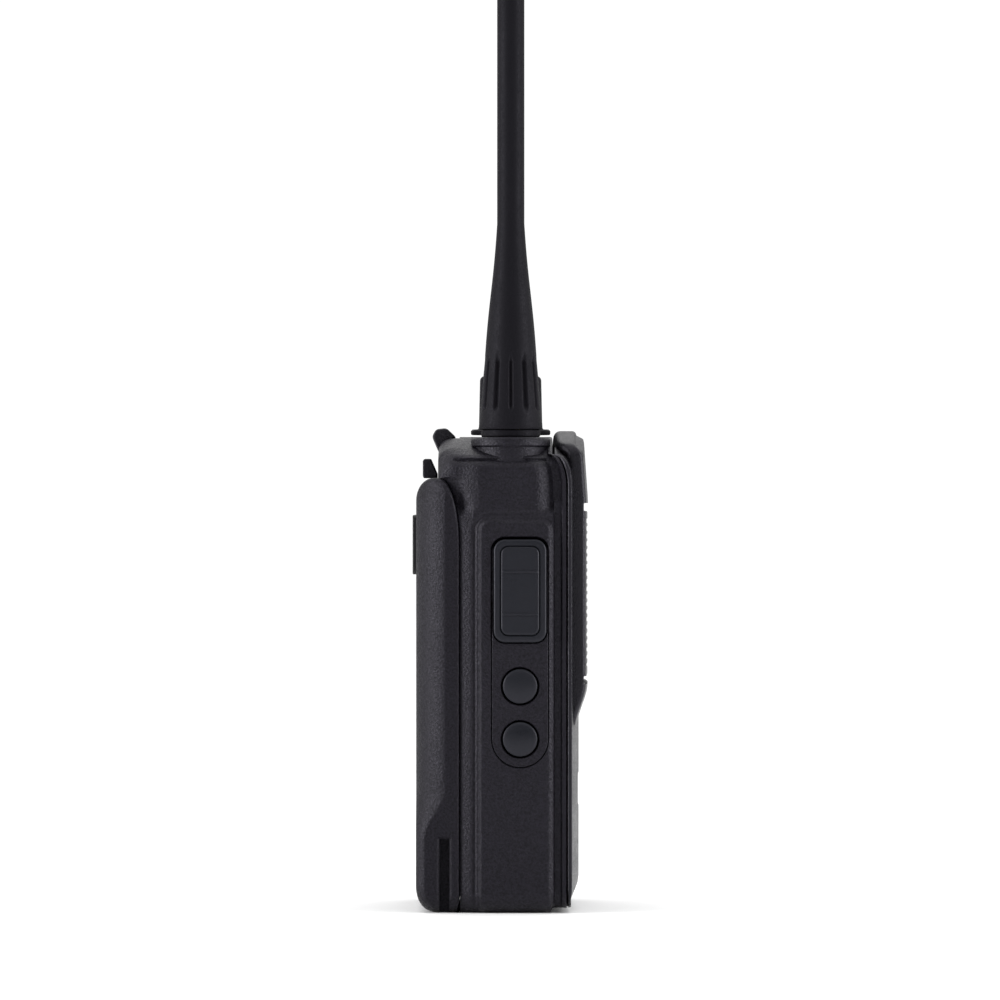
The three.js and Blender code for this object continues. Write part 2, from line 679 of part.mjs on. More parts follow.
// A pan-head screw along -Y, its head's underside at the origin.
function screw(length, head) {
  const shank = rod("y", [0, 0], screwRadius, -length, 0.2, 10);
  const cap = turned("y", [0, 0], [[0, 0], [head, 0], [head, 0.7], [head - 0.6, 1.2], [0, 1.2]], 14);
  const recess = box([-0.35, 0.35], [0.6, 2], [-1.3, 1.3]).add(box([-1.3, 1.3], [0.6, 2], [-0.35, 0.35]));
  return shank.add(cap).subtract(recess);
}
const yScrew = yPlateRear - headSink + 0.05; // underside of the screw heads
const screwLength = yScrew - (yPost - postDepth + pilotFloor) - 0.15;
postPlaces.forEach(([side, z], i) => {
  piece(`chassis_screw_${i + 1}`, screw(screwLength, screwHead), "steel", [side * postX, yScrew, z]);
});

const boardHalf = halfCavity - 4.4;
const yBoard = yPost - postDepth - gap - boardThickness;
piece(
  "main_board",
  prism(
    "y",
    roundedRect(-boardHalf, floorWall + 1.5, boardHalf, cavityTop - 13, 1.5),
    yBoard,
    yBoard + boardThickness,
  ),
  "board",
);

function shield(halfWidth, bottom, top) {
  const outline = roundedRect(-halfWidth, bottom, halfWidth, top, 1);
  return prism("y", outline, yBoard - 0.05 - shieldDepth, yBoard - 0.05, 2);
}
piece("rf_shield", shield(boardHalf - 2, zSpeaker + 2, cavityTop - 16), "steel");
piece("logic_shield", shield(boardHalf - 2, 28, zSpeaker - 2), "steel");

// ---------------------------------------------------------------- battery contacts of the radio
function contactBlock() {
  const reach = contactSpacing + 4;
  let made = box([-reach, reach], [yChassis, yPlateRear + 0.9], [contactZ - 4, contactZ + 4]);
  for (const step of [-1, 0, 1]) {
    made = made.subtract(
      box(
        [step * contactSpacing - 1.5, step * contactSpacing + 1.5],
        [yChassis + 0.6, yRear],
        [contactZ - 3, contactZ + 3],
      ),
    );
  }
  return made;
}
piece("contact_block", contactBlock(), "trim");

// A bowed leaf contact, seen from the side.
function contactLeaf() {
  const y0 = yChassis + 0.7;
  const y1 = yPack - 0.15;
  return prism(
    "x",
    polygon([
      [y0, contactZ - 2.6],
      [y0 + 0.4, contactZ - 2.6],
      [y1, contactZ - 0.6],
      [y1, contactZ + 0.6],
      [y0 + 1.2, contactZ + 2.6],
      [y0 + 0.8, contactZ + 2.4],
      [y1 - 0.5, contactZ + 0.4],
      [y1 - 0.5, contactZ - 0.4],
      [y0, contactZ - 2.2],
    ].reverse()),
    -1.1,
    1.1,
  );
}
[-1, 0, 1].forEach((step, i) => {
  piece(`radio_contact_${i + 1}`, contactLeaf(), "brass", [step * contactSpacing, 0, 0]);
});

// ---------------------------------------------------------------- top controls that stay put
const socketTop = bossTop + antenna.boreDepth - 1.4;
piece(
  "antenna_socket",
  turned("z", [antennaX, yControls], [
    [0, cavityTop - 8],
    [5, cavityTop - 8],
    [5, cavityTop - 6.2],
    [shaftRadius, cavityTop - 6.2],
    [shaftRadius, socketTop - 0.4],
    [shaftRadius - 0.4, socketTop],
    [1, socketTop],
    [1, socketTop - 5],
    [0, socketTop - 5],
  ], 16),
  "brass",
);
piece(
  "antenna_collar",
  turned("z", [antennaX, yControls], [
    [shaftRadius + gap, bossTop + 0.05],
    [collar.radius, bossTop + 0.05],
    [collar.radius, bossTop + collar.height - 0.5],
    [collar.radius - 0.5, bossTop + collar.height],
    [shaftRadius + gap, bossTop + collar.height],
    [shaftRadius + gap, bossTop + 0.05],
  ]),
  "rubber",
);

const controlBodyTop = (x) => topAt(Math.abs(x) + 6) - floorWall - 0.6;
const nutBottom = (x) => topAt(Math.max(Math.abs(x) - nutRadius, 0)) + 0.05;
for (const [name, x, { half, depth }] of [
  ["channel_switch", channelX, channelBody],
  ["volume_control", volumeX, volumeBody],
]) {
  const top = controlBodyTop(x);
  piece(name, box([x - half, x + half], [yControls - half, yControls + half], [top - depth, top]), "steel");
}
for (const [name, x] of [
  ["channel_nut", channelX],
  ["volume_nut", volumeX],
]) {
  const hexagon = rod("z", [x, yControls], nutRadius, nutBottom(x), nutBottom(x) + nutHeight, 6);
  const bore = rod("z", [x, yControls], shaftRadius + slip, nutBottom(x) - 1, nutBottom(x) + nutHeight + 1);
  piece(name, hexagon.subtract(bore), "steel");
}

// ---------------------------------------------------------------- antenna
const antennaGroup = new THREE.Group();
radio.add(antennaGroup);
const antennaBottom = bossTop + collar.height + gap;

function whip() {
  const { baseRadius, rodRadius, length } = antenna;
  const z = antennaBottom;
  const profile = [
    [0, z],
    [baseRadius - 0.4, z],
    [baseRadius, z + 0.7],
    [baseRadius - 0.15, z + 4.7],
    [baseRadius - 1.3, z + 18.2],
    [rodRadius + 0.05, z + 51.5],
    [rodRadius, z + 54],
    [rodRadius - 0.1, z + length - 2],
    [rodRadius - 1.4, z + length - 0.4],
    [0, z + length],
  ];
  let made = turned("z", [antennaX, yControls], profile);
  made = made.subtract(
    turned("z", [antennaX, yControls], [
      [0, z - 1],
      [antenna.boreRadius, z - 1],
      [antenna.boreRadius, z + antenna.boreDepth],
      [0, z + antenna.boreDepth],
    ], 16),
  );
  const flutes = 8;
  for (let i = 0; i < flutes; i += 1) {
    const turn = (2 * Math.PI * i) / flutes + Math.PI;
    const reach = baseRadius - 0.1;
    const at = [antennaX + reach * Math.cos(turn), yControls + reach * Math.sin(turn)];
    const flute = rod("z", at, 0.8, z + 4.9, z + 18, 6);
    made = made.subtract(flute);
  }
  return made;
}
piece("antenna_whip", whip(), "rubber", [0, 0, 0], antennaGroup);
piece(
  "antenna_insert",
  ring(
    "z",
    [antennaX, yControls],
    shaftRadius + 0.15,
    antenna.boreRadius - 0.1,
    antennaBottom + 0.6,
    antennaBottom + antenna.boreDepth - 0.6,
    16,
  ),
  "brass",
  [0, 0, 0],
  antennaGroup,
);

// ---------------------------------------------------------------- knobs
// A skirted knob with room for its nut underneath, a blind bore and shallow flutes.
function knob(x, size, flutes) {
  const z = topAt(Math.max(Math.abs(x) - size.skirtRadius, 0)) + knobClear;
  const skirtTop = z + size.skirtHeight;
  const top = skirtTop + size.height;
  let made = turned("z", [x, yControls], [
    [0, z],
    [size.skirtRadius, z],
    [size.skirtRadius, skirtTop - 0.4],
    [size.skirtRadius - 0.4, skirtTop],
    [size.radius, skirtTop],
    [size.radius - 0.25, top - 1],
    [size.radius - 1.1, top],
    [0, top],
  ]).subtract(rod("z", [x, yControls], shaftRadius + 0.1, z - 1, top - 3))
    .subtract(rod("z", [x, yControls], nutRadius + 0.5, z - 1, nutBottom(x) + nutHeight + slip, 24));
  for (let i = 0; i < flutes; i += 1) {
    const turn = (2 * Math.PI * (i + 0.5)) / flutes;
    const at = [x + size.radius * Math.cos(turn), yControls + size.radius * Math.sin(turn)];
    made = made.subtract(rod("z", at, 0.55, skirtTop + 1, top - 1.5, 6));
  }
  const pointerSpan = [yControls - size.radius + 1.6, yControls - 2.4];
  const pointer = box([x - 0.45, x + 0.45], pointerSpan, [top - 0.5, top + 1]);
  return { solid: made.subtract(pointer), top };
}

for (const [name, x, size, flutes] of [
  ["channel", channelX, channelKnob, 12],
  ["volume", volumeX, volumeKnob, 10],
]) {
  const group = new THREE.Group();
  radio.add(group);
  const made = knob(x, size, flutes);
  piece(`${name}_knob`, made.solid, "rubber", [0, 0, 0], group);
  piece(
    `${name}_shaft`,
    rod("z", [x, yControls], shaftRadius, controlBodyTop(x) + 0.1, made.top - 3.2, 16),
    "steel",
    [0, 0, 0],
    group,
  );
  piece(
    `${name}_pointer`,
    box([x - 0.4, x + 0.4], [yControls - size.radius + 1.7, yControls - 2.5], [made.top - 0.45, made.top + 0.05]),
    "mark",
    [0, 0, 0],
    group,
  );
}

// ---------------------------------------------------------------- side keys
const bezelTop = ptt.bottom + 2.2;
const xKeyBack = -halfCavity - 0.7; // inner ends of the keys at rest

function bezel() {
  const plateOutline = keyOutline(0).getPoints(6).map((p) => [p.x, Math.min(p.y, bezelTop)]);
  let made = prism("x", polygon(plateOutline), -halfBody, -halfBody + bezelThickness)
    .subtract(prism("x", pttOutline(-0.05), -halfBody - 1, -halfBody + bezelThickness + 1));
  for (const z of [button.upperZ, button.lowerZ]) {
    const keyHole = rod("x", [yKeys, z], button.radius + slip, -halfBody - 1, -halfBody + bezelThickness + 1, 24);
    made = made.subtract(keyHole);
  }
  return made;
}
piece("side_key_bezel", bezel(), "housing");

const xSeal = -halfCavity + 0.15;
function keySeal() {
  const reach = keyWidth / 2 + sealMargin;
  const outline = roundedRect(yKeys - reach, keyBottom - 1.5, yKeys + reach, ptt.bottom + ptt.height + 1.5, 3);
  const floor = xSeal + sealThickness - 0.5;
  let made = prism("x", outline, xSeal, xSeal + sealThickness)
    .subtract(prism("x", pttOutline(0), xSeal - 1, floor));
  for (const z of [button.upperZ, button.lowerZ]) {
    made = made.subtract(rod("x", [yKeys, z], button.radius + slip, xSeal - 1, floor, 16));
  }
  return made;
}
piece("side_key_seal", keySeal(), "rubber");

const xSwitch = xSeal + sealThickness + 0.15;
const xSideBoard = xSwitch + switchHeight + 0.05;
for (const [name, z, half] of [
  ["ptt_switch", ptt.bottom + ptt.height / 2, 3],
  ["upper_switch", button.upperZ, 2.2],
  ["lower_switch", button.lowerZ, 2.2],
]) {
  const square = box([xSwitch, xSwitch + switchHeight], [yKeys - half, yKeys + half], [z - half, z + half]);
  piece(name, square, "steel");
}
piece(
  "side_key_board",
  box(
    [xSideBoard, xSideBoard + sideBoardThickness],
    [yKeys - keyWidth / 2, yKeys + keyWidth / 2 - 1.6],
    [keyBottom + 1, ptt.bottom + ptt.height - 2],
  ),
  "board",
);

const xPttFace = -halfBody - sideProud;
function talkKey() {
  const skirt = prism("x", pttOutline(slip), -halfBody - sideProud + 0.8, xKeyBack);
  const crown = prism("x", pttOutline(slip + 0.6), -halfBody - sideProud + pttPad.proud, -halfBody);
  const seat = prism("x", pttOutline(pttPad.inset + slip), xPttFace - 1, xPttFace + 1.2);
  return skirt.add(crown).subtract(seat);
}
piece("ptt_button", talkKey(), "key");

function talkPad() {
  const pad = prism("x", pttOutline(pttPad.inset + slip + 0.1), xPttFace + 0.25, xPttFace + 1.15);
  const ribs = [0.28, 0.68].map((share) => {
    const z = ptt.bottom + ptt.height * (1 - share);
    return box(
      [xPttFace, xPttFace + 0.6],
      [yKeys - keyWidth / 2 + pttPad.inset + slip + 0.5, yKeys + keyWidth / 2 - pttPad.inset - slip - 0.5],
      [z - 0.3, z + 0.3],
    );
  });
  return ribs.reduce((made, rib) => made.add(rib), pad);
}
piece("ptt_pad", talkPad(), "key");

// A round key along X: a flat back and a domed face.
function roundKey() {
  const face = -halfBody - button.proud;
  return turned("x", [0, 0], [
    [0, face],
    [button.radius * 0.6, face + 0.15],
    [button.radius - 0.3, face + 0.6],
    [button.radius, face + 1],
    [button.radius, xKeyBack],
    [0, xKeyBack],
  ]);
}
piece("upper_side_button", roundKey(), "key", [0, yKeys, button.upperZ]);
piece("lower_side_button", roundKey(), "key", [0, yKeys, button.lowerZ]);

// ---------------------------------------------------------------- accessory jack
const jackMiddle = jack.bottom + 2 + (jack.open - 2) / 2;
const xJackFace = halfBody - jack.recess - 0.6;
function jackBlock() {
  let made = box([halfCavity - 3, xJackFace], [yJack - 4, yJack + 4], [jack.bottom + 2, jack.bottom + jack.open]);
  jackRadii.forEach((radius, i) => {
    const z = jackMiddle + (i - 0.5) * jackSpacing;
    made = made.subtract(rod("x", [yJack, z], radius, halfCavity - 2.4, halfBody + 1, 16));
  });
  return made;
}
piece("jack_block", jackBlock(), "trim");

function jackCover() {
  const inner = halfBody - jack.recess + 0.1;
  return prism("x", jackOutline(0), inner, halfBody + sideProud - 0.6)
    .add(prism("x", jackOutline(1), inner, halfBody + sideProud));
}
piece("jack_cover", jackCover(), "rubber");

// ---------------------------------------------------------------- battery latch
function latchLever() {
  const lean = THREE.MathUtils.degToRad(latch.lean);
  const along = [Math.sin(lean), Math.cos(lean)];
  const across = [Math.cos(lean), -Math.sin(lean)];
  const from = [pinY, pinZ];
  const at = (up, out) => [0, 1].map((k) => from[k] + along[k] * up + across[k] * out);
  const tabFrom = (bodyHeight - pinZ) / Math.cos(lean) - 2.4;
  const outline = polygon([
    at(-3.2, -0.2),
    at(-3.6, 1.2),
    at(-1.2, 1.5),
    at(tabFrom, 1.3),
    at(tabFrom, latch.tabWidth / 2 + 0.4),
    at(tabFrom + latch.tabLength, latch.tabWidth / 2 + 0.2),
    at(tabFrom + latch.tabLength + 0.3, -latch.tabWidth / 2 + 0.8),
    at(tabFrom + 0.9, -latch.tabWidth / 2),
    at(-1.2, -1.4),
  ]);
  return prism("x", outline, -latch.halfWidth, latch.halfWidth)
    .subtract(rod("x", [pinY, pinZ], latch.pinRadius + 0.08, -latch.halfWidth - 1, latch.halfWidth + 1, 12))
    .subtract(rod("x", [pinY, pinZ], latch.coilRadius + gap, -latch.coilHalf - gap, latch.coilHalf + gap));
}
piece("battery_latch", latchLever(), "trim");
const pinHalf = latch.halfWidth + 3;
piece("latch_pin", rod("x", [pinY, pinZ], latch.pinRadius, -pinHalf, pinHalf, 12), "steel");
piece(
  "latch_spring",
  ring("x", [pinY, pinZ], latch.pinRadius + 0.08, latch.coilRadius, -latch.coilHalf, latch.coilHalf, 16),
  "steel",
);

// ---------------------------------------------------------------- battery pack
const pack = new THREE.Group();
radio.add(pack);
const halfPack = halfBody - packInset;

// Plan of the pack with rear vertical edges of one radius, drawn in by inset.
function packPlan(radius, inset = 0) {
  const w = halfPack - inset;
  const r = Math.max(radius - inset, 0.8);
  const back = yPackBack - inset;
  const shape = new THREE.Shape();
  shape.moveTo(-w, yPack + inset);
  shape.lineTo(w, yPack + inset);
  shape.absarc(w - r, back - r, r, 0, Math.PI / 2);
  shape.absarc(-w + r, back - r, r, Math.PI / 2, Math.PI);
  return shape;
}

// Side view of the pack: a chamfered foot, a straight back and a top that follows the shoulder.
function packProfile(inset = 0) {
  const front = yPack + inset;
  const back = yPackBack - inset;
  const top = packHeight - inset;
  const r = packBottomRound;
  const shape = new THREE.Shape();
  shape.moveTo(front, inset);
  shape.lineTo(back - r, inset);
  shape.quadraticCurveTo(back - r * 0.25, inset + r * 0.35, back, inset + r * 1.45);
  shape.lineTo(back, top - 5.5);
  const room = back - (yShoulder + gap);
  shape.quadraticCurveTo(back, top - 1.2, back - Math.min(packTopRound - inset, room - 0.3), top);
  shape.lineTo(yShoulder + gap, top);
  for (const [y, z] of sweepPoints(gap + inset).reverse()) shape.lineTo(y, Math.min(z, top - 0.1));
  return shape;
}

const lidBottom = tongue.z + tongue.height / 2 + 1.2;
const lidTop = zSweep - 3;
const lidHalf = halfPack - 4;
function packShell() {
  const side = prism("x", packProfile(), -halfPack, halfPack);
  const upper = prism("z", packPlan(packRound), packFoot + packFootBlend / 2, packHeight + 1);
  const foot = prism("z", packPlan(packFootRound), 0, packFoot + packFootBlend / 2);
  const blendCut = mirrored((sign) =>
    box(
      span(sign * (halfPack - packFootRound), sign * (halfPack + 1)),
      [yPackBack - 1, yPackBack + 1],
      [packFoot, packFoot + packFootBlend],
    ),
  );
  const footEdge = prism("y", bodyOutline(0, halfPack), yPack, yPackBack + 1);
  const outer = side.intersect(upper.add(foot)).intersect(footEdge).subtract(blendCut);
  const hollow = prism("x", packProfile(packWall), -halfPack + packWall, halfPack - packWall)
    .intersect(prism("z", packPlan(packRound, packWall), packWall, packHeight))
    .add(box([-lidHalf, lidHalf], [yPack - 1, yPack + 3], [lidBottom, lidTop]));
  const slots = mirrored((sign) =>
    box(
      span(sign * (halfPack - slot.depth), sign * (halfPack + 1)),
      [yPackBack - slot.fromBack - slot.width / 2 - gap, yPackBack - slot.fromBack + slot.width / 2],
      [-1, packFoot],
    ),
  );
  const slotWalls = mirrored((sign) =>
    box(
      span(sign * (halfPack - slot.depth - packWall), sign * (halfPack - 0.5)),
      [yPack + 3.2, yPackBack - 2.5],
      [packWall, packFoot + packWall],
    ),
  );
  const tongues = mirrored((sign) =>
    box(
      span(sign * (tongue.x - tongue.width / 2), sign * (tongue.x + tongue.width / 2)),
      [yPack - tongue.reach, yPack + 1],
      [tongue.z - tongue.height / 2, tongue.z + tongue.height / 2],
    ),
  );
  return outer.subtract(hollow.subtract(slotWalls)).subtract(slots).add(tongues);
}
piece("battery_case", packShell(), "pack", [0, 0, 0], pack);

const contactWindow = contactSpacing + 4;
piece(
  "battery_lid",
  box([-lidHalf + gap, lidHalf - gap], [yPack, yPack + lidThickness], [lidBottom + gap, lidTop - gap]).subtract(
    box([-contactWindow, contactWindow], [yPack - 1, yPack + lidThickness + 1], [contactZ - 3.5, contactZ + 3.5]),
  ),
  "pack",
  [0, 0, 0],
  pack,
);

function contactBoard() {
  let made = box(
    [-contactWindow + gap, contactWindow - gap],
    [yPack + lidThickness - 0.2, yPack + lidThickness + 0.8],
    [contactZ - 3.2, contactZ + 3.2],
  );
  for (const step of [-1, 0, 1]) {
    made = made.add(
      box(
        [step * contactSpacing - 2, step * contactSpacing + 2],
        [yPack + 0.15, yPack + lidThickness],
        [contactZ - 2.6, contactZ + 2.6],
      ),
    );
  }
  return made;
}
piece("battery_contacts", contactBoard(), "brass", [0, 0, 0], pack);

const yCell = yPack + lidThickness + 1.1;
const cellDepth = yPackBack - packWall - cellClear - yCell;
const cellBottom = packFoot + packWall + 1;
const cellTop = zSweep - 3.5;
const cellHeight = (cellTop - cellBottom - 1) / 2;
["battery_cell_lower", "battery_cell_upper"].forEach((name, i) => {
  const z = cellBottom + i * (cellHeight + 1);
  const half = halfPack - packWall - 5.4;
  const outline = roundedRect(-half, yCell, half, yCell + cellDepth, 1.5);
  piece(name, prism("z", outline, z, z + cellHeight, 3), "cell", [0, 0, 0], pack);
});

function clipRail() {
  const rampTop = rail.bottom + rail.height;
  const profile = polygon([
    [yPackBack + 0.05, rail.bottom],
    [yRail - 0.3, rail.bottom],
    [yRail, rail.bottom + 0.5],
    [yRail, rampTop - rail.ramp],
    [yPackBack + 0.3, rampTop],
    [yPackBack + 0.05, rampTop],
  ]);
  let made = prism("x", profile, -rail.halfWidth, rail.halfWidth);
  for (const side of [-1, 1]) {
    const headSeat = rod("y", [side * railScrewX, railScrewZ], screwHead + 0.2, yPackBack - 1, yRail + 1, 14);
    made = made.subtract(headSeat);
  }
  return made;
}
const railScrewZ = rail.bottom + (rail.height - rail.ramp) / 2 + 0.5;
piece("clip_rail", clipRail(), "steel", [0, 0, 0], pack);
[-1, 1].forEach((side, i) => {
  const headProfile = [[0, 0.05], [screwHead, 0.05], [screwHead, 0.45], [screwHead - 0.5, 0.8], [0, 0.8]];
  const head = turned("y", [0, 0], headProfile, 14)
    .subtract(box([-0.35, 0.35], [0.4, 2], [-1.3, 1.3]).add(box([-1.3, 1.3], [0.4, 2], [-0.35, 0.35])));
  piece(`rail_screw_${i + 1}`, head, "steel", [side * railScrewX, yPackBack, railScrewZ], pack);
});

// The thumb tab on the pack's top, behind the shoulder.
function thumbTab() {
  const front = yShoulder + gap;
  const back = front + catchTab.depth;
  const top = packHeight + catchTab.height - 1;
  return prism(
    "x",
    polygon([
      [front + 0.1, packHeight + 0.05],
      [back - 0.2, packHeight + 0.05],
      [back, packHeight + 0.6],
      [back, top - 0.5],
      [back - 0.4, top],
      [front + 1.7, top],
      [front + 0.1, packHeight + 1.2],
    ]),
    -catchTab.halfWidth,
    catchTab.halfWidth,
  );
}
piece("battery_thumb_tab", thumbTab(), "trim", [0, 0, 0], pack);

export default radio;
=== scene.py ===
import json
import bmesh
import bpy
import numpy as np
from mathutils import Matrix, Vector


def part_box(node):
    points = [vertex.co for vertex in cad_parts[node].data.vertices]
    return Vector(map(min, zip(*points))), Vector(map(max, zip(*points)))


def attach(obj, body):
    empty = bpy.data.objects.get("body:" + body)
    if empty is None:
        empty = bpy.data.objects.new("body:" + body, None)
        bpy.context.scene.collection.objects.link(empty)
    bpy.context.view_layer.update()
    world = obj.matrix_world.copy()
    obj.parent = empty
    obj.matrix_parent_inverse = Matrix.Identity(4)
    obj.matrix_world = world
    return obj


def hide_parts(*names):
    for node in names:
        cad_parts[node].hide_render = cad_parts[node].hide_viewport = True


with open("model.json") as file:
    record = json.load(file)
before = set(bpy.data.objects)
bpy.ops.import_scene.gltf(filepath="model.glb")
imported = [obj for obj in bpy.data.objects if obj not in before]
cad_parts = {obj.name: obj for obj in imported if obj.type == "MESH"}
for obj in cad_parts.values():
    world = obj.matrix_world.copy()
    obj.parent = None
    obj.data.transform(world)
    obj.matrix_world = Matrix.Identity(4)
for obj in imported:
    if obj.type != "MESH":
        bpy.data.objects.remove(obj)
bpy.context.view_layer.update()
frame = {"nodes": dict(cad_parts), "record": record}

# A hand-held two way radio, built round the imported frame. Shapes are worked out in millimetres.
# -Y is the speaker side, +Y the battery side, -X the talk-key side.
mm = 0.001
print("frame loaded:", len(frame["nodes"]), "nodes")


def boxOf(node):  # lowest and highest corner of a node, in mm
    low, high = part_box(node)
    return np.array(low) / mm, np.array(high) / mm


bodyLow, bodyHigh = boxOf("main_housing")
trimHalf = boxOf("front_trim")[1][0]
packLow, packHigh = boxOf("battery_case")
whipLow, whipHigh = boxOf("antenna_whip")

bodyHalf = bodyHigh[0]
bodyTop = bodyHigh[2]
seamY = bodyLow[1]  # front seam of the housing
shoulderY = bodyHigh[1]  # back of the shoulder over the battery
packY = boxOf("battery_lid")[0][1]  # front face of the pack
rearY = packY - 0.3  # rear seam of the housing
packBackY = packHigh[1]
controlsY = (whipLow[1] + whipHigh[1]) / 2
antennaX = (whipLow[0] + whipHigh[0]) / 2


# t clipped to 0..1, then t * t * (3 - 2 t)
def smooth(t):
    t = np.clip(t, 0.0, 1.0)
    return t * t * (3.0 - 2.0 * t)


# quarter circle drop: 0 at t = 0, 1 at t = 1, level at the start and steep at the end
def roundOff(t):
    t = np.clip(t, 0.0, 1.0)
    return 1.0 - np.sqrt(1.0 - t * t)


def blend(a, b, share):  # a + (b - a) share
    return a + (b - a) * share


def ringAt(flat, y):  # front view points (x, z) set at depth y
    return np.column_stack([flat[:, 0], np.broadcast_to(y, len(flat)), flat[:, 1]])
# Rows of points, each a closed ring, become quads; the last row joins the first when looped,
# and otherwise each end ring is closed by one flat face.
def ringMesh(name, rings, looped=False):
    rings = np.asarray(rings, float)
    rows, around = rings.shape[:2]
    i = np.arange(rows if looped else rows - 1)[:, None] * around
    j = np.arange(around)[None, :]
    nextRow = (i + around) % (rows * around)
    nextCol = (j + 1) % around
    quads = np.stack([i + j, i + nextCol, nextRow + nextCol, nextRow + j], -1).reshape(-1, 4)
    faces = quads.tolist()
    if not looped:
        faces.append(list(range(around))[::-1])
        faces.append(list(range((rows - 1) * around, rows * around)))
    mesh = bpy.data.meshes.new(name)
    mesh.from_pydata((rings.reshape(-1, 3) * mm).tolist(), [], faces)
    tidyMesh(mesh)
    obj = bpy.data.objects.new(name, mesh)
    bpy.context.scene.collection.objects.link(obj)
    return obj


def tidyMesh(mesh):  # merges doubles, drops what they flatten, turns every face outwards
    work = bmesh.new()
    work.from_mesh(mesh)
    bmesh.ops.remove_doubles(work, verts=work.verts, dist=2e-6)
    bmesh.ops.dissolve_degenerate(work, edges=work.edges, dist=1e-6)
    bmesh.ops.recalc_face_normals(work, faces=work.faces)
    work.to_mesh(mesh)
    work.free()
    mesh.update()


def joined(name, objects):  # several separate shells in one object
    work = bmesh.new()
    for obj in objects:
        work.from_mesh(obj.data)
        bpy.data.objects.remove(obj)
    mesh = bpy.data.meshes.new(name)
    work.to_mesh(mesh)
    work.free()
    obj = bpy.data.objects.new(name, mesh)
    bpy.context.scene.collection.objects.link(obj)
    return obj


def combine(target, other, how="DIFFERENCE"):  # boolean, kept as plain mesh
    cut = target.modifiers.new("cut", "BOOLEAN")
    cut.operation = how
    cut.solver = "EXACT"
    cut.object = other
    bpy.context.view_layer.update()
    shape = bpy.data.meshes.new_from_object(target.evaluated_get(bpy.context.evaluated_depsgraph_get()))
    target.modifiers.clear()
    target.data = shape
    bpy.data.objects.remove(other)
    return target


def finish(obj, body, slotName, stands=(), angle=32):  # shading, material, place in the frame
    obj.data.polygons.foreach_set("use_smooth", [True] * len(obj.data.polygons))
    obj.data.set_sharp_from_angle(angle=np.radians(angle))
    obj.data.materials.clear()
    obj.data.materials.append(materialFor(slotName))
    even = obj.modifiers.new("evenNormals", "WEIGHTED_NORMAL")
    even.keep_sharp = True
    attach(obj, body)
    if stands:
        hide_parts(*stands)
# Arcs strung into one outline: centre + r (cos a, sin a), with (cos a, sin a) as the outward normals.
def strung(arcs):
    normals = [np.stack([np.cos(turns), np.sin(turns)], -1) for *_, turns in arcs]
    points = [np.array([u, v]) + r * normal for (u, v, r, _), normal in zip(arcs, normals)]
    return np.concatenate(points), np.concatenate(normals)


def roundedRect(u0, v0, u1, v1, radius, steps=10):  # four quarter arcs
    turn = np.linspace(0, np.pi / 2, steps)
    left, right, foot, top = u0 + radius, u1 - radius, v0 + radius, v1 - radius
    corners = [(right, foot), (right, top), (left, top), (left, foot)]
    return strung([(u, v, radius, turn + (k - 1) * np.pi / 2) for k, (u, v) in enumerate(corners)])


# Rounded rectangle over a box seen along one axis, grown on every side.
def outlineOf(low, high, axis, grow, radius, steps):
    u, v = {"x": (1, 2), "y": (0, 2), "z": (0, 1)}[axis]
    return roundedRect(low[u] - grow, low[v] - grow, high[u] + grow, high[v] + grow, radius, steps)


# An outline carried along an axis: ring k is outline - inset_k * normal, at depth_k.
def slab(name, outline, profile, axis):
    points, normals = outline
    depth, inset = np.array(profile, float).T
    flat = points - inset[:, None, None] * normals
    along = np.broadcast_to(depth[:, None, None], (*flat.shape[:2], 1))
    rings = np.concatenate([flat, along], -1)
    return ringMesh(name, rings[..., {"x": [2, 0, 1], "y": [0, 2, 1], "z": [0, 1, 2]}[axis]])


# The profile of a slab between two depths; its far edge, and the near one if asked, is a quarter circle.
def edged(start, end, radius, startRadius=0.0, steps=5):
    turn = np.linspace(0, np.pi / 2, steps)
    way = np.sign(end - start)
    near = np.column_stack([start + way * startRadius * (1 - np.cos(turn)), startRadius * (1 - np.sin(turn))])
    far = np.column_stack([end - way * radius * (1 - np.sin(turn)), radius * (1 - np.cos(turn))])
    return np.concatenate([near if startRadius else near[:1], far])


def leg(start, end, shares):  # straight part of a profile, start + (end - start) share
    return blend(np.array(start, float), np.array(end, float), shares[:, None])


def bow(centre, radii, turns):  # part of a profile along an ellipse, centre + (a cos t, b sin t)
    return np.array(centre) + np.array(radii) * np.column_stack([np.cos(turns), np.sin(turns)])


# A surface of revolution about a line along one axis: each profile row is (radius, place on the line).
def lathe(name, centre, profile, axis="z", steps=64, shape=None):
    angle = np.linspace(0, 2 * np.pi, steps, endpoint=False)
    radius, along = (column[:, None] * np.ones(steps) for column in np.array(profile, float).T)
    if shape is not None:
        radius = shape(radius, along, angle[None, :])
    u = centre[0] + radius * np.cos(angle)
    v = centre[1] + radius * np.sin(angle)
    return ringMesh(name, np.stack({"x": (along, u, v), "y": (u, along, v), "z": (u, v, along)}[axis], -1))


print("helpers ready")

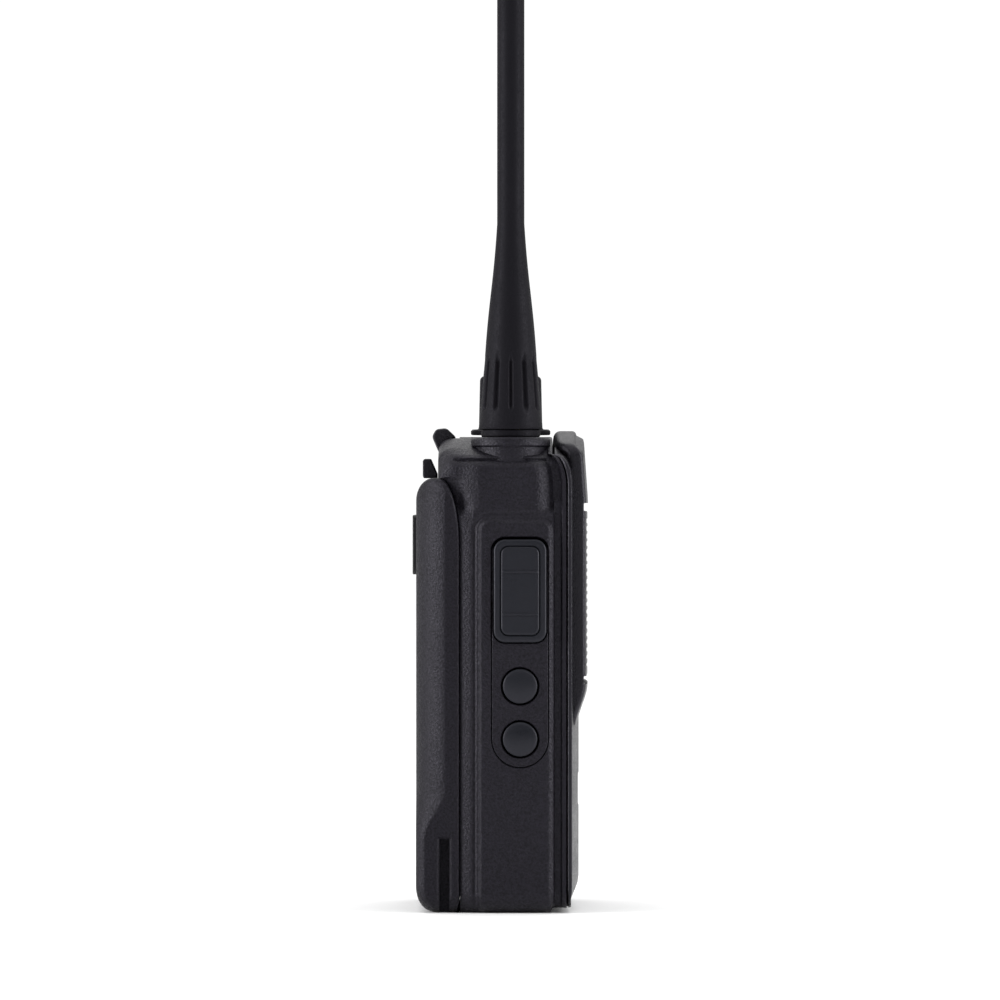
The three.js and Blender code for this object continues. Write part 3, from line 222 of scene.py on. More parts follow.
# colour, roughness, bump depth and grain in mm, how far the grain darkens and lightens, gloss level
plastics = {
    "housing_plastic": ((0.0066, 0.006, 0.0084), 0.39, 0.2, 0.55, 0.9, 0.22),
    "pack_plastic": ((0.0062, 0.0056, 0.0078), 0.42, 0.18, 0.55, 0.9, 0.19),
    "trim_plastic": ((0.0042, 0.004, 0.0052), 0.38, 0.12, 0.5, 0.3, 0.3),
    "grille_plastic": ((0.004, 0.0038, 0.005), 0.4, 0.05, 0.4, 0.2, 0.3),
    "key_rubber": ((0.0042, 0.0052, 0.0072), 0.42, 0.006, 0.25, 0.06, 0.32),
    "soft_rubber": ((0.0052, 0.0049, 0.0064), 0.58, 0.03, 0.4, 0.15, 0.1),
    "mesh_cloth": ((0.006, 0.006, 0.0065), 0.9, 0.06, 0.35, 0.4, 0.3),
    "cone_paper": ((0.012, 0.012, 0.012), 0.85, 0.03, 0.6, 0.3, 0.3),
}
# plainer finishes, by name; rough is the least and the most, and sockets hold single values
metal = {"Metallic": 1.0}
plain = {
    "cast_metal": dict(color=(0.42, 0.42, 0.43), rough=(0.43, 0.56), depth=0.02, grain=0.6, sockets=metal),
    "steel": dict(color=(0.56, 0.56, 0.57), rough=(0.23, 0.36), depth=0.006, grain=0.2, sockets=metal),
    "brass": dict(color=(0.78, 0.57, 0.24), rough=(0.17, 0.3), depth=0.004, grain=0.3, sockets=metal),
    "black_steel": dict(color=(0.006, 0.006, 0.007), rough=(0.28, 0.4), depth=0.008, grain=0.25, spread=0.2,
                        detail=2.0, sockets={"Metallic": 0.3}),
    "cell_wrap": dict(color=(0.03, 0.08, 0.2), depth=0.25, grain=14.0, spread=0.15,
                      sockets={"Roughness": 0.22, "Coat Weight": 0.4}),
    "white_mark": dict(color=(0.7, 0.7, 0.68), grain=0.4, spread=0.08, detail=2.0,
                       sockets={"Roughness": 0.4}),
    "clear_lens": dict(color=(0.42, 0.45, 0.47), depth=0.01, grain=0.5, spread=0.1, detail=2.0,
                       sockets={"Roughness": 0.18, "Transmission Weight": 0.35}),
}


def newMaterial(name):  # material, node tree and shader
    material = bpy.data.materials.new(name)
    material.use_nodes = True
    tree = material.node_tree
    return material, tree, tree.nodes["Principled BSDF"]


def noiseAt(tree, grain, detail=2.0, roughness=0.5):  # noise whose grain is given in mm
    place = tree.nodes.new("ShaderNodeTexCoord")
    noise = tree.nodes.new("ShaderNodeTexNoise")
    noise.inputs["Scale"].default_value = 1.0 / (grain * mm)
    noise.inputs["Detail"].default_value = detail
    noise.inputs["Roughness"].default_value = roughness
    tree.links.new(place.outputs["Object"], noise.inputs["Vector"])
    return noise.outputs["Fac"]


# fromLow..fromHigh becomes low..high, and stays there beyond.
def between(tree, value, low, high, fromLow=0.3, fromHigh=0.7, kind="LINEAR"):
    scale = tree.nodes.new("ShaderNodeMapRange")
    scale.interpolation_type = kind
    for name, number in {"From Min": fromLow, "From Max": fromHigh, "To Min": low, "To Max": high}.items():
        scale.inputs[name].default_value = number
    tree.links.new(value, scale.inputs["Value"])
    return scale.outputs["Result"]


def added(tree, first, second):  # first + second
    total = tree.nodes.new("ShaderNodeMath")
    total.operation = "ADD"
    tree.links.new(first, total.inputs[0])
    tree.links.new(second, total.inputs[1])
    return total.outputs["Value"]


def colorRange(tree, value, color, spread):  # colour (1 - spread) to colour (1 + spread)
    ramp = tree.nodes.new("ShaderNodeValToRGB")
    for stop, position, way in zip(ramp.color_ramp.elements, (0.3, 0.7), (-1, 1)):
        stop.position = position
        stop.color = (*[c * (1 + way * spread) for c in color], 1)
    tree.links.new(value, ramp.inputs["Fac"])
    return ramp.outputs["Color"]


def addBump(tree, shader, height, depth):  # depth in mm
    bump = tree.nodes.new("ShaderNodeBump")
    bump.inputs["Strength"].default_value = 1.0
    bump.inputs["Distance"].default_value = depth * mm
    tree.links.new(height, bump.inputs["Height"])
    tree.links.new(bump.outputs["Normal"], shader.inputs["Normal"])


# A fine grain moves colour, roughness and bump; a broad one moves the roughness a little too.
def mouldedPlastic(name, color, rough, depth, grain, spread, gloss):
    material, tree, shader = newMaterial(name)
    fine = noiseAt(tree, grain, 3.0, 0.6)
    broad = noiseAt(tree, 9.0, 3.0)
    tree.links.new(colorRange(tree, fine, color, spread), shader.inputs["Base Color"])
    mottle = added(tree, between(tree, broad, rough - 0.04, rough + 0.04), between(tree, fine, 0.14, -0.14))
    tree.links.new(mottle, shader.inputs["Roughness"])
    shader.inputs["Specular IOR Level"].default_value = gloss
    shader.inputs["Specular Tint"].default_value = (0.9, 0.87, 1.0, 1)  # a faint violet cast in the gloss
    addBump(tree, shader, fine, depth)
    return material


# One grain moves the colour, and the roughness and bump where they are given.
def plainFinish(name, color, grain, rough=None, depth=0, spread=0.12, detail=3.0, sockets=None):
    material, tree, shader = newMaterial(name)
    fine = noiseAt(tree, grain, detail)
    tree.links.new(colorRange(tree, fine, color, spread), shader.inputs["Base Color"])
    if rough:
        tree.links.new(between(tree, fine, *rough), shader.inputs["Roughness"])
    for socket, value in (sockets or {}).items():
        shader.inputs[socket].default_value = value
    if depth:
        addBump(tree, shader, fine, depth)
    return material


def circuitBoard(name):  # green mask over a faint grid of tracks
    material, tree, shader = newMaterial(name)
    place = tree.nodes.new("ShaderNodeTexCoord")
    tracks = tree.nodes.new("ShaderNodeTexBrick")
    tracks.inputs["Scale"].default_value = 1.0 / (4.0 * mm)
    tracks.inputs["Mortar Size"].default_value = 0.05
    tracks.inputs["Color1"].default_value = (0.012, 0.11, 0.04, 1)
    tracks.inputs["Color2"].default_value = (0.014, 0.13, 0.05, 1)
    tracks.inputs["Mortar"].default_value = (0.05, 0.2, 0.08, 1)
    turn = tree.nodes.new("ShaderNodeMapping")
    turn.inputs["Rotation"].default_value = (np.pi / 2, 0, 0)
    tree.links.new(place.outputs["Object"], turn.inputs["Vector"])
    tree.links.new(turn.outputs["Vector"], tracks.inputs["Vector"])
    tree.links.new(tracks.outputs["Color"], shader.inputs["Base Color"])
    shader.inputs["Roughness"].default_value = 0.35
    addBump(tree, shader, tracks.outputs["Fac"], 0.03)
    return material


made = {}


def materialFor(slotName):  # made once from its row above
    if slotName not in made:
        if slotName in plastics:
            made[slotName] = mouldedPlastic(slotName, *plastics[slotName])
        elif slotName in plain:
            made[slotName] = plainFinish(slotName, **plain[slotName])
        else:
            made[slotName] = {"circuit_board": circuitBoard}[slotName](slotName)
    return made[slotName]


print("materials ready")

housing = dict(
    bottomCorner=5.0,
    topCorner=4.6,
    crownRadius=80.0,
    wall=2.6,
    shoulderDrop=10.3,  # lower edge of the shoulder below the crown
    shoulderSweep=16.7,  # height of the curve down to the battery seam
    gripProud=0.75,
    gripTop=98.5,
    gripCorner=3.2,
    gripFront=3.2,  # behind the front seam
    gripRear=5.55,
    ramp=(1.7, 0.9),  # width of the grip's edge, front and rear
    lean=(2.3, 1.9),  # how far the side leans in above the grip, front and rear
    rearRoll=(3.3, 4.2),  # width of the rear edge's roll, low and high up
    rearDrop=(1.5, 2.9),
    ledge=(110.9, 2.0, 0.95),  # groove over the side: where it starts, its height and depth
    channel=(1.3, 3.2),  # groove behind the front seam
    channelDepth=1.1,
    noseBack=3.45,  # how far the front seam runs back over the top
    noseFrom=12.5,  # where that starts, below the crown
    stepHeight=1.1,
    stepFrom=4.2,
)
sweepZ = bodyTop - housing["shoulderDrop"] - housing["shoulderSweep"]
shoulderZ = bodyTop - housing["shoulderDrop"]
cavityHalf = bodyHalf - 3.3


# Rear face of the housing at height z: y = rear + reach (1 - cos a), where sweep sin a = z - sweepZ.
def sweepAt(z, offset=0.0):
    sine = np.clip((z - sweepZ + offset) / housing["shoulderSweep"], 0, 1)
    return rearY + offset + (shoulderY - rearY - offset) * (1 - np.sqrt(1 - sine**2))


# Front seam at height z: straight, then a quarter ellipse back over the top.
def seamAt(z):
    start = bodyTop - housing["noseFrom"]
    return seamY + housing["noseBack"] * roundOff((z - start) / (housing["noseFrom"] - 4.5))


# shares of the side wall's height, closer together where it meets the shoulder
sideShares = np.concatenate([np.linspace(0, 0.86, 44), np.linspace(0.863, 1.0, 52)])


# Front view of the body as one closed ring: floor, corner arcs, straight sides and a crown of one radius.
def bodyRing(half, floor, top, rFloor, rTop, crown):
    centre = top - crown
    cornerZ = centre + np.sqrt((crown - rTop) ** 2 - (half - rTop) ** 2)
    turn = np.arctan2(cornerZ - centre, half - rTop)
    quarter = np.linspace(0, 1, 10)[1:-1]
    sideLow, sideHigh = floor + rFloor, cornerZ
    right = [
        np.column_stack([np.linspace(-(half - rFloor), half - rFloor, 26), np.full(26, floor)]),
        np.column_stack([
            half - rFloor + rFloor * np.sin(quarter * np.pi / 2),
            floor + rFloor - rFloor * np.cos(quarter * np.pi / 2),
        ]),
        np.column_stack([np.full(len(sideShares), half), sideLow + sideShares * (sideHigh - sideLow)]),
    ]
    lift = np.linspace(0, turn, 28)[1:]
    right.append(np.column_stack([half - rTop + rTop * np.cos(lift), cornerZ + rTop * np.sin(lift)]))
    over = np.linspace(turn, np.pi - turn, 52)[1:-1]
    crownPart = np.column_stack([crown * np.cos(over), centre + crown * np.sin(over)])
    left = [part[::-1] * np.array([-1, 1]) for part in reversed(right[1:])]
    return np.concatenate(right + [crownPart] + left)


# Inward offset of the side wall: flat, a soft roll to the rear, a channel at the front, the grip raised
# on it with a shallow groove round it, and a ledge above.
def sideInset(y, z, front, rear):
    h = housing
    length = blend(*h["rearRoll"], smooth((z - sweepZ) / 10))
    drop = blend(*h["rearDrop"], smooth((z - shoulderZ + 1) / 6))
    roll = (y - (rear - length)) / length
    inset = h["gripProud"] + drop * (0.15 * roundOff(roll) + 0.85 * np.clip(roll, 0, 1))
    behind = y - front
    up = z - h["gripTop"]
    leanFront = h["lean"][0] * np.clip((7.6 - behind) / 4.2, 0, 1) ** 1.25
    leanRear = h["lean"][1] * np.clip((y - 5.2) / 5.0, 0, 1) ** 1.25
    inset = inset + smooth(up / 3) * (leanFront + leanRear)
    low, far = h["channel"]
    channel = smooth((behind - low + 0.2) / 0.4) * (1 - smooth((behind - far + 0.2) / 0.4))
    deep = h["gripProud"] + h["channelDepth"] + 1.2 * smooth((z - 99) / 6)
    lip = (1 - smooth((behind - low + 0.2) / 0.4)) * (h["gripProud"] + 0.15)
    inset = np.where(behind < low + 0.2, lip + channel * deep, inset)
    inset = np.where(behind >= low + 0.2, inset + channel * (deep - inset), inset)
    inset = inset + 0.4 * roundOff((0.4 - behind) / 0.4)
    across = np.maximum(front + h["gripFront"] - y, y - h["gripRear"])
    ramp = np.where(y < 0, h["ramp"][0], h["ramp"][1])
    corner = h["gripCorner"]
    du, dv = across + corner, up + corner
    reach = np.minimum(np.maximum(du, dv), 0) + np.hypot(np.maximum(du, 0), np.maximum(dv, 0)) - corner
    grip = 1 - smooth((reach + ramp) / ramp)
    groove = 0.4 * np.exp(-(((reach - 0.9) / 0.45) ** 2)) * smooth((behind - 4.2) / 1.5)
    start, height, depth = h["ledge"]
    ledge = depth * roundOff((z - start) / height) * (1 - smooth((z - start - height) / 0.7))
    ledge = ledge * smooth((behind - 3) / 1.2) * (1 - smooth((y - 10.2) / 1.6))
    return inset * (1 - grip) + groove * (1 - grip) + ledge


# Rings of the front view carried from the seam to the rear edge, down the shoulder's sweep to the battery
# opening, and forward again as the cavity's wall.
def housingShell():
    h = housing
    ring = bodyRing(bodyHalf, 0, bodyTop, h["bottomCorner"], h["topCorner"], h["crownRadius"])
    x0, z0 = ring[:, 0], ring[:, 1]
    front, rear = seamAt(z0), sweepAt(z0)
    low, far = h["channel"]
    near = [0, 0.06, 0.15, 0.28, 0.42, 0.7]
    lip = low + np.array([-0.25, -0.1, 0, 0.1, 0.2, 0.3])
    bank = far + np.array([-0.25, -0.12, 0, 0.08, 0.16, 0.25, 0.34, 0.44, 0.54, 0.66, 0.8, 1.1, 1.6])
    steps = np.concatenate([near, lip, [2.2], bank])
    rows = [front + s for s in steps]
    rows += [(front + steps[-1]) * (1 - s) + 4.6 * s for s in np.linspace(0, 1, 22)[1:]]
    edgeRows = [4.85, 4.98, 5.1, 5.22, 5.34, 5.46, 5.58, 5.7, 5.85, 6.05, 6.3, 6.6, 7.0, 7.4]
    rows += [np.full_like(z0, y) for y in edgeRows]
    toRear = [0.14, 0.28, 0.42, 0.55, 0.66, 0.76, 0.84, 0.9, 0.95, 0.985, 1.0]
    rows += [blend(edgeRows[-1], rear, share) for share in toRear]
    hug = smooth((np.abs(x0) - (bodyHalf - 9)) / 9)
    topShare = smooth((z0 - (bodyTop - 12)) / 5)
    rings = []
    for y in rows:
        behind = y - front
        x = x0 - np.sign(x0) * hug * sideInset(y, z0, front, rear)
        backDrop = 3.2 * roundOff((y - rear + 3.2) / 3.2) * (z0 > shoulderZ)
        z = z0 - topShare * (0.35 * roundOff((0.4 - behind) / 0.4) + backDrop)
        z = z + h["stepHeight"] * (1 - smooth((y - seamY - h["stepFrom"] + 0.8) / 0.8)) * (1 - smooth(z0 / 6))
        rings.append(np.column_stack([x, y, z]))
    edge = rings[-1]
    opening = bodyRing(cavityHalf, h["wall"], sweepZ - 2, 1.0, 1.0, 4000.0)
    edgeZ, openZ = edge[:, 2], opening[:, 1]
    fall = edgeZ - openZ
    above = (fall > 0) & (z0 > 12)
    sweep = sweepZ + h["shoulderSweep"] * np.sin(np.radians([78, 66, 54, 42, 30, 16, 0]))
    for z in [shoulderZ + 0.4, shoulderZ + 0.02, *sweep]:
        height = np.where(above, np.clip(z, openZ, edgeZ), edgeZ)
        share = (edgeZ - height) / np.where(np.abs(fall) < 1e-6, 1, fall)
        rings.append(np.column_stack([blend(edge[:, 0], opening[:, 0], share), sweepAt(height), height]))
    cavity = bodyRing(cavityHalf, h["wall"], bodyTop - h["wall"], 2.4, 2.0, h["crownRadius"] - h["wall"])
    cavityY = boxOf("chassis_gasket")[0][1] - 1.4
    rings += [ringAt(opening, rearY), ringAt(opening, cavityY), ringAt(cavity, cavityY - 0.02)]
    lastZ = np.maximum(cavity[:, 1], h["stepHeight"] + 1.2)
    rings.append(np.column_stack([cavity[:, 0], front + 0.25, lastZ]))
    return ringMesh("housingShell", rings, looped=True)


# The key bezel's outline, grown: square shoulders filleted at the top, a half circle at the foot.
def keyOpening(grow):
    low, high = boxOf("side_key_bezel")
    top = boxOf("ptt_button")[1][2] + 0.4 + grow
    half = (high[1] - low[1]) / 2 + grow
    middle = (high[1] + low[1]) / 2
    corner = 3.2 + grow
    quarter = np.linspace(0, np.pi / 2, 12)
    return strung([
        (middle, low[2] + half - grow, half, np.linspace(np.pi, 2 * np.pi, 40)),
        (middle + half - corner, top - corner, corner, quarter),
        (middle - half + corner, top - corner, corner, quarter + np.pi / 2),
    ])


shell = housingShell()
collarLow, collarHigh = boxOf("antenna_collar")
bossTop = collarLow[2] - 0.05
bossSide = [(9.2, -2.55), (9.3, -2.4), (9.75, -2.3), (9.93, -2.1), (9.95, -1.0), (9.85, -0.55), (9.6, -0.2),
            (9.3, -0.04), (9.0, 0), (0.02, 0)]
boss = [(0.02, bodyTop - 7), (9.2, bodyTop - 7), *(np.array(bossSide) + [0, bossTop])]
combine(shell, lathe("boss", (antennaX, controlsY), boss), "UNION")
nutLow, nutHigh = boxOf("volume_nut")
seat = nutLow[2] - 0.06  # the crown falls away here, so the nut gets a seat of its own
raised = [(0.02, bodyTop - 8), (6.6, bodyTop - 8), (6.3, seat - 0.5), (6.15, seat - 0.15), (5.9, seat),
          (0.02, seat)]
combine(shell, lathe("volumeSeat", ((nutLow + nutHigh) / 2)[:2], raised), "UNION")
keyRim = [(-bodyHalf - 2, -1.2), (-bodyHalf - 0.02, -0.22), (-bodyHalf + 0.25, 0), (-cavityHalf + 1, 0)]
combine(shell, slab("keyCut", keyOpening(0.16), keyRim, "x"))
jackLow, jackHigh = boxOf("jack_cover")
jackRim = [(bodyHalf + 2, -1.2), (bodyHalf + 0.02, -0.22), (bodyHalf - 0.25, 0), (jackLow[0] - 0.1, 0)]
combine(shell, slab("jackCut", outlineOf(jackLow, jackHigh, "x", 0.4, 3.4, 12), jackRim, "x"))
plugLow, plugHigh = boxOf("jack_block")
plug = outlineOf(plugLow, plugHigh, "x", 0.3, 0.6, 8)
combine(shell, slab("plugCut", plug, [(plugLow[0] - 2, 0), (bodyHalf, 0)], "x"))
latchLow, latchHigh = boxOf("battery_latch")
latchRoom = latchHigh[0] + 0.4
bay = roundedRect(latchLow[1] - 0.9, shoulderZ - 2, shoulderY + 3, bodyTop + 4, 0.6, 5)
combine(shell, slab("bay", bay, [(-latchRoom, 0), (latchRoom, 0)], "x"))
holes = [lathe("hole", (antennaX, controlsY), [(3.3, bodyTop - 11), (3.3, bodyTop + 4)], steps=32)]
for node in ["channel_shaft", "volume_shaft"]:
    low, high = boxOf(node)
    middle = (low + high) / 2
    holes.append(lathe("hole", middle[:2], [(3.4, bodyTop - 16), (3.4, bodyTop + 4)], steps=32))
combine(shell, joined("holes", holes))
finish(shell, "radio", "housing_plastic", ["main_housing"])
print("housing made:", len(shell.data.polygons))

front = dict(
    rimWidth=1.35,
    crown=1.95,  # lower face ahead of its edges, in the middle
    footRoll=5.0,
    blockCrown=0.75,
    chinFrom=46.3,
    chinTo=56.6,
    chinRise=2.5,
    notch=2.0,
    notchDepth=0.5,
    visorLean=0.95,
    visorRise=1.6,
    visorProud=0.12,
    edge=1.1,
    rearEdge=1.5,
)
rimY = seamY - front["rimWidth"]
grilleLow, grilleHigh = boxOf("grille_insert")
blockHalf = bodyHalf - 4.5
faceY = grilleLow[1] + front["blockCrown"]  # speaker block's face at its side edges


# Rings shrunk towards a middle point: P(r) = middle + r (ring - middle).
def shrunk(ring, middle, r):
    return np.array(middle) + r * (ring - np.array(middle))


# Lower face: y = rim - crown (1 - (x / half)^2), rolled back at the foot and over the top.
def lowerFace(x, z):
    f = front
    bulge = f["crown"] * np.clip(1 - (x / (trimHalf - 1.5)) ** 2, 0, 1) * smooth((z - 1) / 7)
    roll = 2.2 * roundOff((1.2 + f["footRoll"] - z) / f["footRoll"]) + 0.8 * roundOff((2.4 - z) / 1.2)
    return rimY + (seamAt(z) - seamY) - bulge + roll


# Rings of one outline shrunk towards its middle: the flat back, the rounded rim, then the lower face.
def trimPlate():
    foot = housing["stepHeight"] + 0.1
    ring = bodyRing(trimHalf, foot, bodyTop, 4.6, 4.2, housing["crownRadius"])
    middle = (0.0, 60.0)
    rings = []
    for r in [0.01, 0.3, 0.6, 0.85, 0.93, 0.97]:
        flat = shrunk(ring, middle, r)
        rings.append(ringAt(flat, seamAt(flat[:, 1]) - 0.3))
    back = seamAt(ring[:, 1]) - 0.3
    for inset, ahead in [(0.25, 0.0), (0.0, 0.22), (0.0, 0.5), (0.06, 0.75)]:
        rings.append(ringAt(shrunk(ring, middle, 1 - inset / 45), back - ahead))
    for r in [0.994, 0.988, 0.98, 0.97, 0.955, 0.935, 0.91, 0.88, 0.84, 0.79, 0.73, 0.66, 0.58, 0.49,
              0.39, 0.28, 0.16, 0.05, 0.01]:
        flat = shrunk(ring, middle, r)
        rings.append(ringAt(flat, lowerFace(flat[:, 0], flat[:, 1]) + 0.22 * roundOff((r - 0.98) / 0.02)))
    return ringMesh("trimPlate", rings)


# Raised block: chin as a smooth rise, a flat face, the visor leaning back, crowned by 1 - (x / half)^2.
def blockFace(x, z, topZ):
    f = front
    chin = f["chinRise"] * (1 - smooth((z - f["chinFrom"] - 0.2) / (f["chinTo"] - f["chinFrom"])))
    visorFrom = grilleHigh[2] + 1.0
    visor = smooth((z - visorFrom) / 0.6)
    lean = f["visorLean"] * np.clip((z - visorFrom - 1.5) / 14, 0, 1.2)
    bulge = f["blockCrown"] * (1 - (x / blockHalf) ** 2)
    brow = 2.4 * roundOff((3.4 - (topZ - z)) / 3.4)
    return faceY + chin - visor * (f["visorProud"] - lean) - bulge + brow


# Rings from the back's middle to its edge, over the rounded rear edge, the sides and the rounded front
# edge, then shrunk towards the middle of the face.
def speakerBlock():
    f = front
    crown = housing["crownRadius"] + f["visorRise"]
    top = bodyTop + f["visorRise"]
    ring = bodyRing(blockHalf, f["chinFrom"], top - 0.1, 2.2, 3.6, crown)
    middle = (0.0, 84.0)
    rings = []
    visorBack = seamY + 3.1

    def backAt(x, z):  # just ahead of the seam, but behind it at the visor, less so at its corners
        high = smooth((z - (bodyTop - 12)) / 6)
        corner = 4.0 * roundOff((np.abs(x) - (blockHalf - 6)) / 6.2)
        return seamY - 0.9 + (visorBack - seamY + 0.9 - corner) * high

    def faceDepth(flat):  # the face under a top of one radius
        x, z = flat.T
        return blockFace(x, z, top - crown + np.sqrt(crown**2 - x**2))

    for r in [0.01, 0.4, 0.8, 0.89]:
        flat = shrunk(ring, middle, r)
        rings.append(ringAt(flat, backAt(flat[:, 0], flat[:, 1])))
    normal = np.roll(ring, -1, 0) - np.roll(ring, 1, 0)
    normal = np.column_stack([normal[:, 1], -normal[:, 0]])
    normal /= np.linalg.norm(normal, axis=1)[:, None]
    backY = backAt(ring[:, 0], ring[:, 1])
    reach = f["rearEdge"] * smooth((ring[:, 1] - bodyTop + 12) / 6) + 0.3
    quarter = np.linspace(0, np.pi / 2, 7)
    for turn in quarter:  # rounded rear edge of the visor
        flat = ring - normal * (reach * (1 - np.sin(turn)))[:, None]
        rings.append(ringAt(flat, backY - reach * (1 - np.cos(turn))))
    edgeY = faceDepth(ring)
    for share in [0.35, 0.7]:
        rings.append(ringAt(ring, blend(backY - reach, edgeY + f["edge"], share)))
    for turn in quarter:
        flat = ring - normal * f["edge"] * (1 - np.cos(turn))
        rings.append(ringAt(flat, edgeY + f["edge"] * (1 - np.sin(turn))))
    inner = ring - normal * f["edge"]
    for r in [0.975, 0.95, 0.92, 0.89, 0.86, 0.83, 0.8, 0.77, 0.74, 0.7, 0.65, 0.59, 0.52,
              0.44, 0.35, 0.25, 0.14, 0.04, 0.01]:
        flat = shrunk(inner, middle, r)
        rings.append(ringAt(flat, faceDepth(flat)))
    return ringMesh("speakerBlock", rings)


trim = trimPlate()
combine(trim, speakerBlock(), "UNION")
wide = blockHalf + 3
notchY = faceY + front["notchDepth"]
for low in [front["chinTo"] + 0.4, grilleHigh[2] + 0.05]:
    notch = roundedRect(faceY - 6, low, notchY, low + front["notch"], 0.3, 5)
    combine(trim, slab("notch", notch, [(-wide, 0), (wide, 0)], "x"))
window = outlineOf(grilleLow, grilleHigh, "y", 0.3, 1.6, 8)
combine(trim, slab("window", window, [(faceY - 8, 0), (seamY + 6, 0)], "y"))
plateLow, plateHigh = np.array([-11, 0, 26]), np.array([11, 0, 34])  # blank plate on the lower face
blankY = rimY - front["crown"]
blank = outlineOf(plateLow, plateHigh, "y", 0, 1.2, 8)
combine(trim, slab("blank", blank, [(rimY - 4, -0.35), (blankY + 0.1, -0.3), (blankY + 0.85, 0.45)], "y"))
plate = outlineOf(plateLow, plateHigh, "y", -0.5, 0.9, 8)
finish(slab("labelPlate", plate, edged(blankY + 1.6, blankY + 0.35, 0.2), "y"), "radio", "black_steel")
micX, _, micZ = sum(boxOf("microphone")) / 2
combine(trim, lathe("mic", (micX, micZ), [(0.75, rimY - 4), (0.75, seamY + 4)], "y", 24))
ledLow, ledHigh = boxOf("led_lens")
ledSeat = outlineOf(ledLow, ledHigh, "y", 0.2, 0.9, 8)
combine(trim, slab("ledSeat", ledSeat, [(faceY - 8, 0), (ledHigh[1] + 0.3, 0)], "y"))
finish(trim, "radio", "trim_plastic", ["front_trim"])
print("front trim made:", len(trim.data.polygons))

grille = dict(slots=20, slotHeight=0.95, flare=0.22, sideWall=1.6, endWall=1.5, thickness=1.9)


# A rounded plate whose face follows the block's crown, with slots cut through it that flare to the front.
def grilleBars():
    g = grille
    ring = outlineOf(grilleLow, grilleHigh, "y", 0, 1.3, 6)[0]
    step = np.roll(ring, -1, 0) - ring
    count = np.maximum(1, (np.hypot(*step.T) / 1.5).astype(int))  # more points along the straight sides
    share = (np.arange(count.sum()) - np.repeat(np.cumsum(count) - count, count)) / np.repeat(count, count)
    ring = np.repeat(ring, count, 0) + np.repeat(step, count, 0) * share[:, None]
    middle = (0.0, (grilleLow[2] + grilleHigh[2]) / 2)

    def faceAt(x):  # crown (1 - (x / half)^2)
        return faceY - front["blockCrown"] * (1 - (x / blockHalf) ** 2) + 0.05

    rings = [ringAt(flat, faceY + g["thickness"]) for flat in [shrunk(ring, middle, 0.02), ring]]
    for r in [1.0, 0.995, 0.985, 0.9, 0.75, 0.6, 0.45, 0.3, 0.15, 0.02]:
        flat = shrunk(ring, middle, r)
        rings.append(ringAt(flat, faceAt(flat[:, 0]) + 0.3 * roundOff((r - 0.985) / 0.015)))
    body = ringMesh("grilleBars", rings)
    pitch = (grilleHigh[2] - grilleLow[2] - 2 * g["endWall"]) / g["slots"]
    cutters = []
    half = g["slotHeight"] / 2
    left, right = grilleLow[0] + g["sideWall"], grilleHigh[0] - g["sideWall"]
    deep = [(faceY + g["thickness"] + 1, 0), (faceY - 0.1, 0), (faceY - 0.75, -g["flare"]),
            (faceY - 2.2, -g["flare"] - 0.15)]
    for k in range(g["slots"]):
        z = grilleLow[2] + g["endWall"] + pitch * (k + 0.5)
        cutters.append(slab("slot", roundedRect(left, z - half, right, z + half, half - 0.02, 6), deep, "y"))
    return combine(body, joined("slots", cutters))


finish(grilleBars(), "radio", "grille_plastic", ["grille_insert"])
print("grille made")

pack = dict(
    width=2 * packHigh[0] - 1.8,
    backRound=7.2,
    crease=0.5,
    gap=0.14,  # seam to the housing
    footChamfer=(2.6, 0.7),
    footRound=2.3,
    footTop=18.5,
    waistTop=30.5,  # where the boxier foot has gone
    footRoll=(6.6, 4.6),  # height and depth of the rear foot's curve
    topRoll=(5.6, 4.4),
    cornerRound=5.0,
    slotDepth=4.4,
    slotTop=18.5,
    slotFront=12.75,
    slotRear=15.25,
)


def bent(arc, line):  # a quarter arc flattened a little towards its chord, so that its ends crease
    return (1 - pack["crease"]) * arc + pack["crease"] * line


# Plan section of the pack: front y0, back y1, half width w, front edges e, rear corner radius r.
def packSection(y0, y1, w, e, r):
    a = np.linspace(0, np.pi / 2, 14)
    b = np.linspace(0, np.pi / 2, 5)
    side = np.linspace(0, 1, 10)[1:-1]
    parts = [
        np.column_stack([np.linspace(-(w - e), w - e, 24), np.full(24, y0)]),
        np.column_stack([w - e + e * np.sin(b[1:]), y0 + e - e * np.cos(b[1:])]),
        np.column_stack([np.full(len(side), w), y0 + e + side * (y1 - r - y0 - e)]),
        np.column_stack([w - r + r * bent(np.cos(a), 1 - 2 * a / np.pi),
                         y1 - r + r * bent(np.sin(a), 2 * a / np.pi)]),
    ]
    back = np.linspace(w - r, -(w - r), 24)[1:-1]
    left = [part[::-1] * np.array([-1, 1]) for part in reversed(parts[1:])]
    return np.concatenate(parts + [np.column_stack([back, np.full(len(back), y1)])] + left)


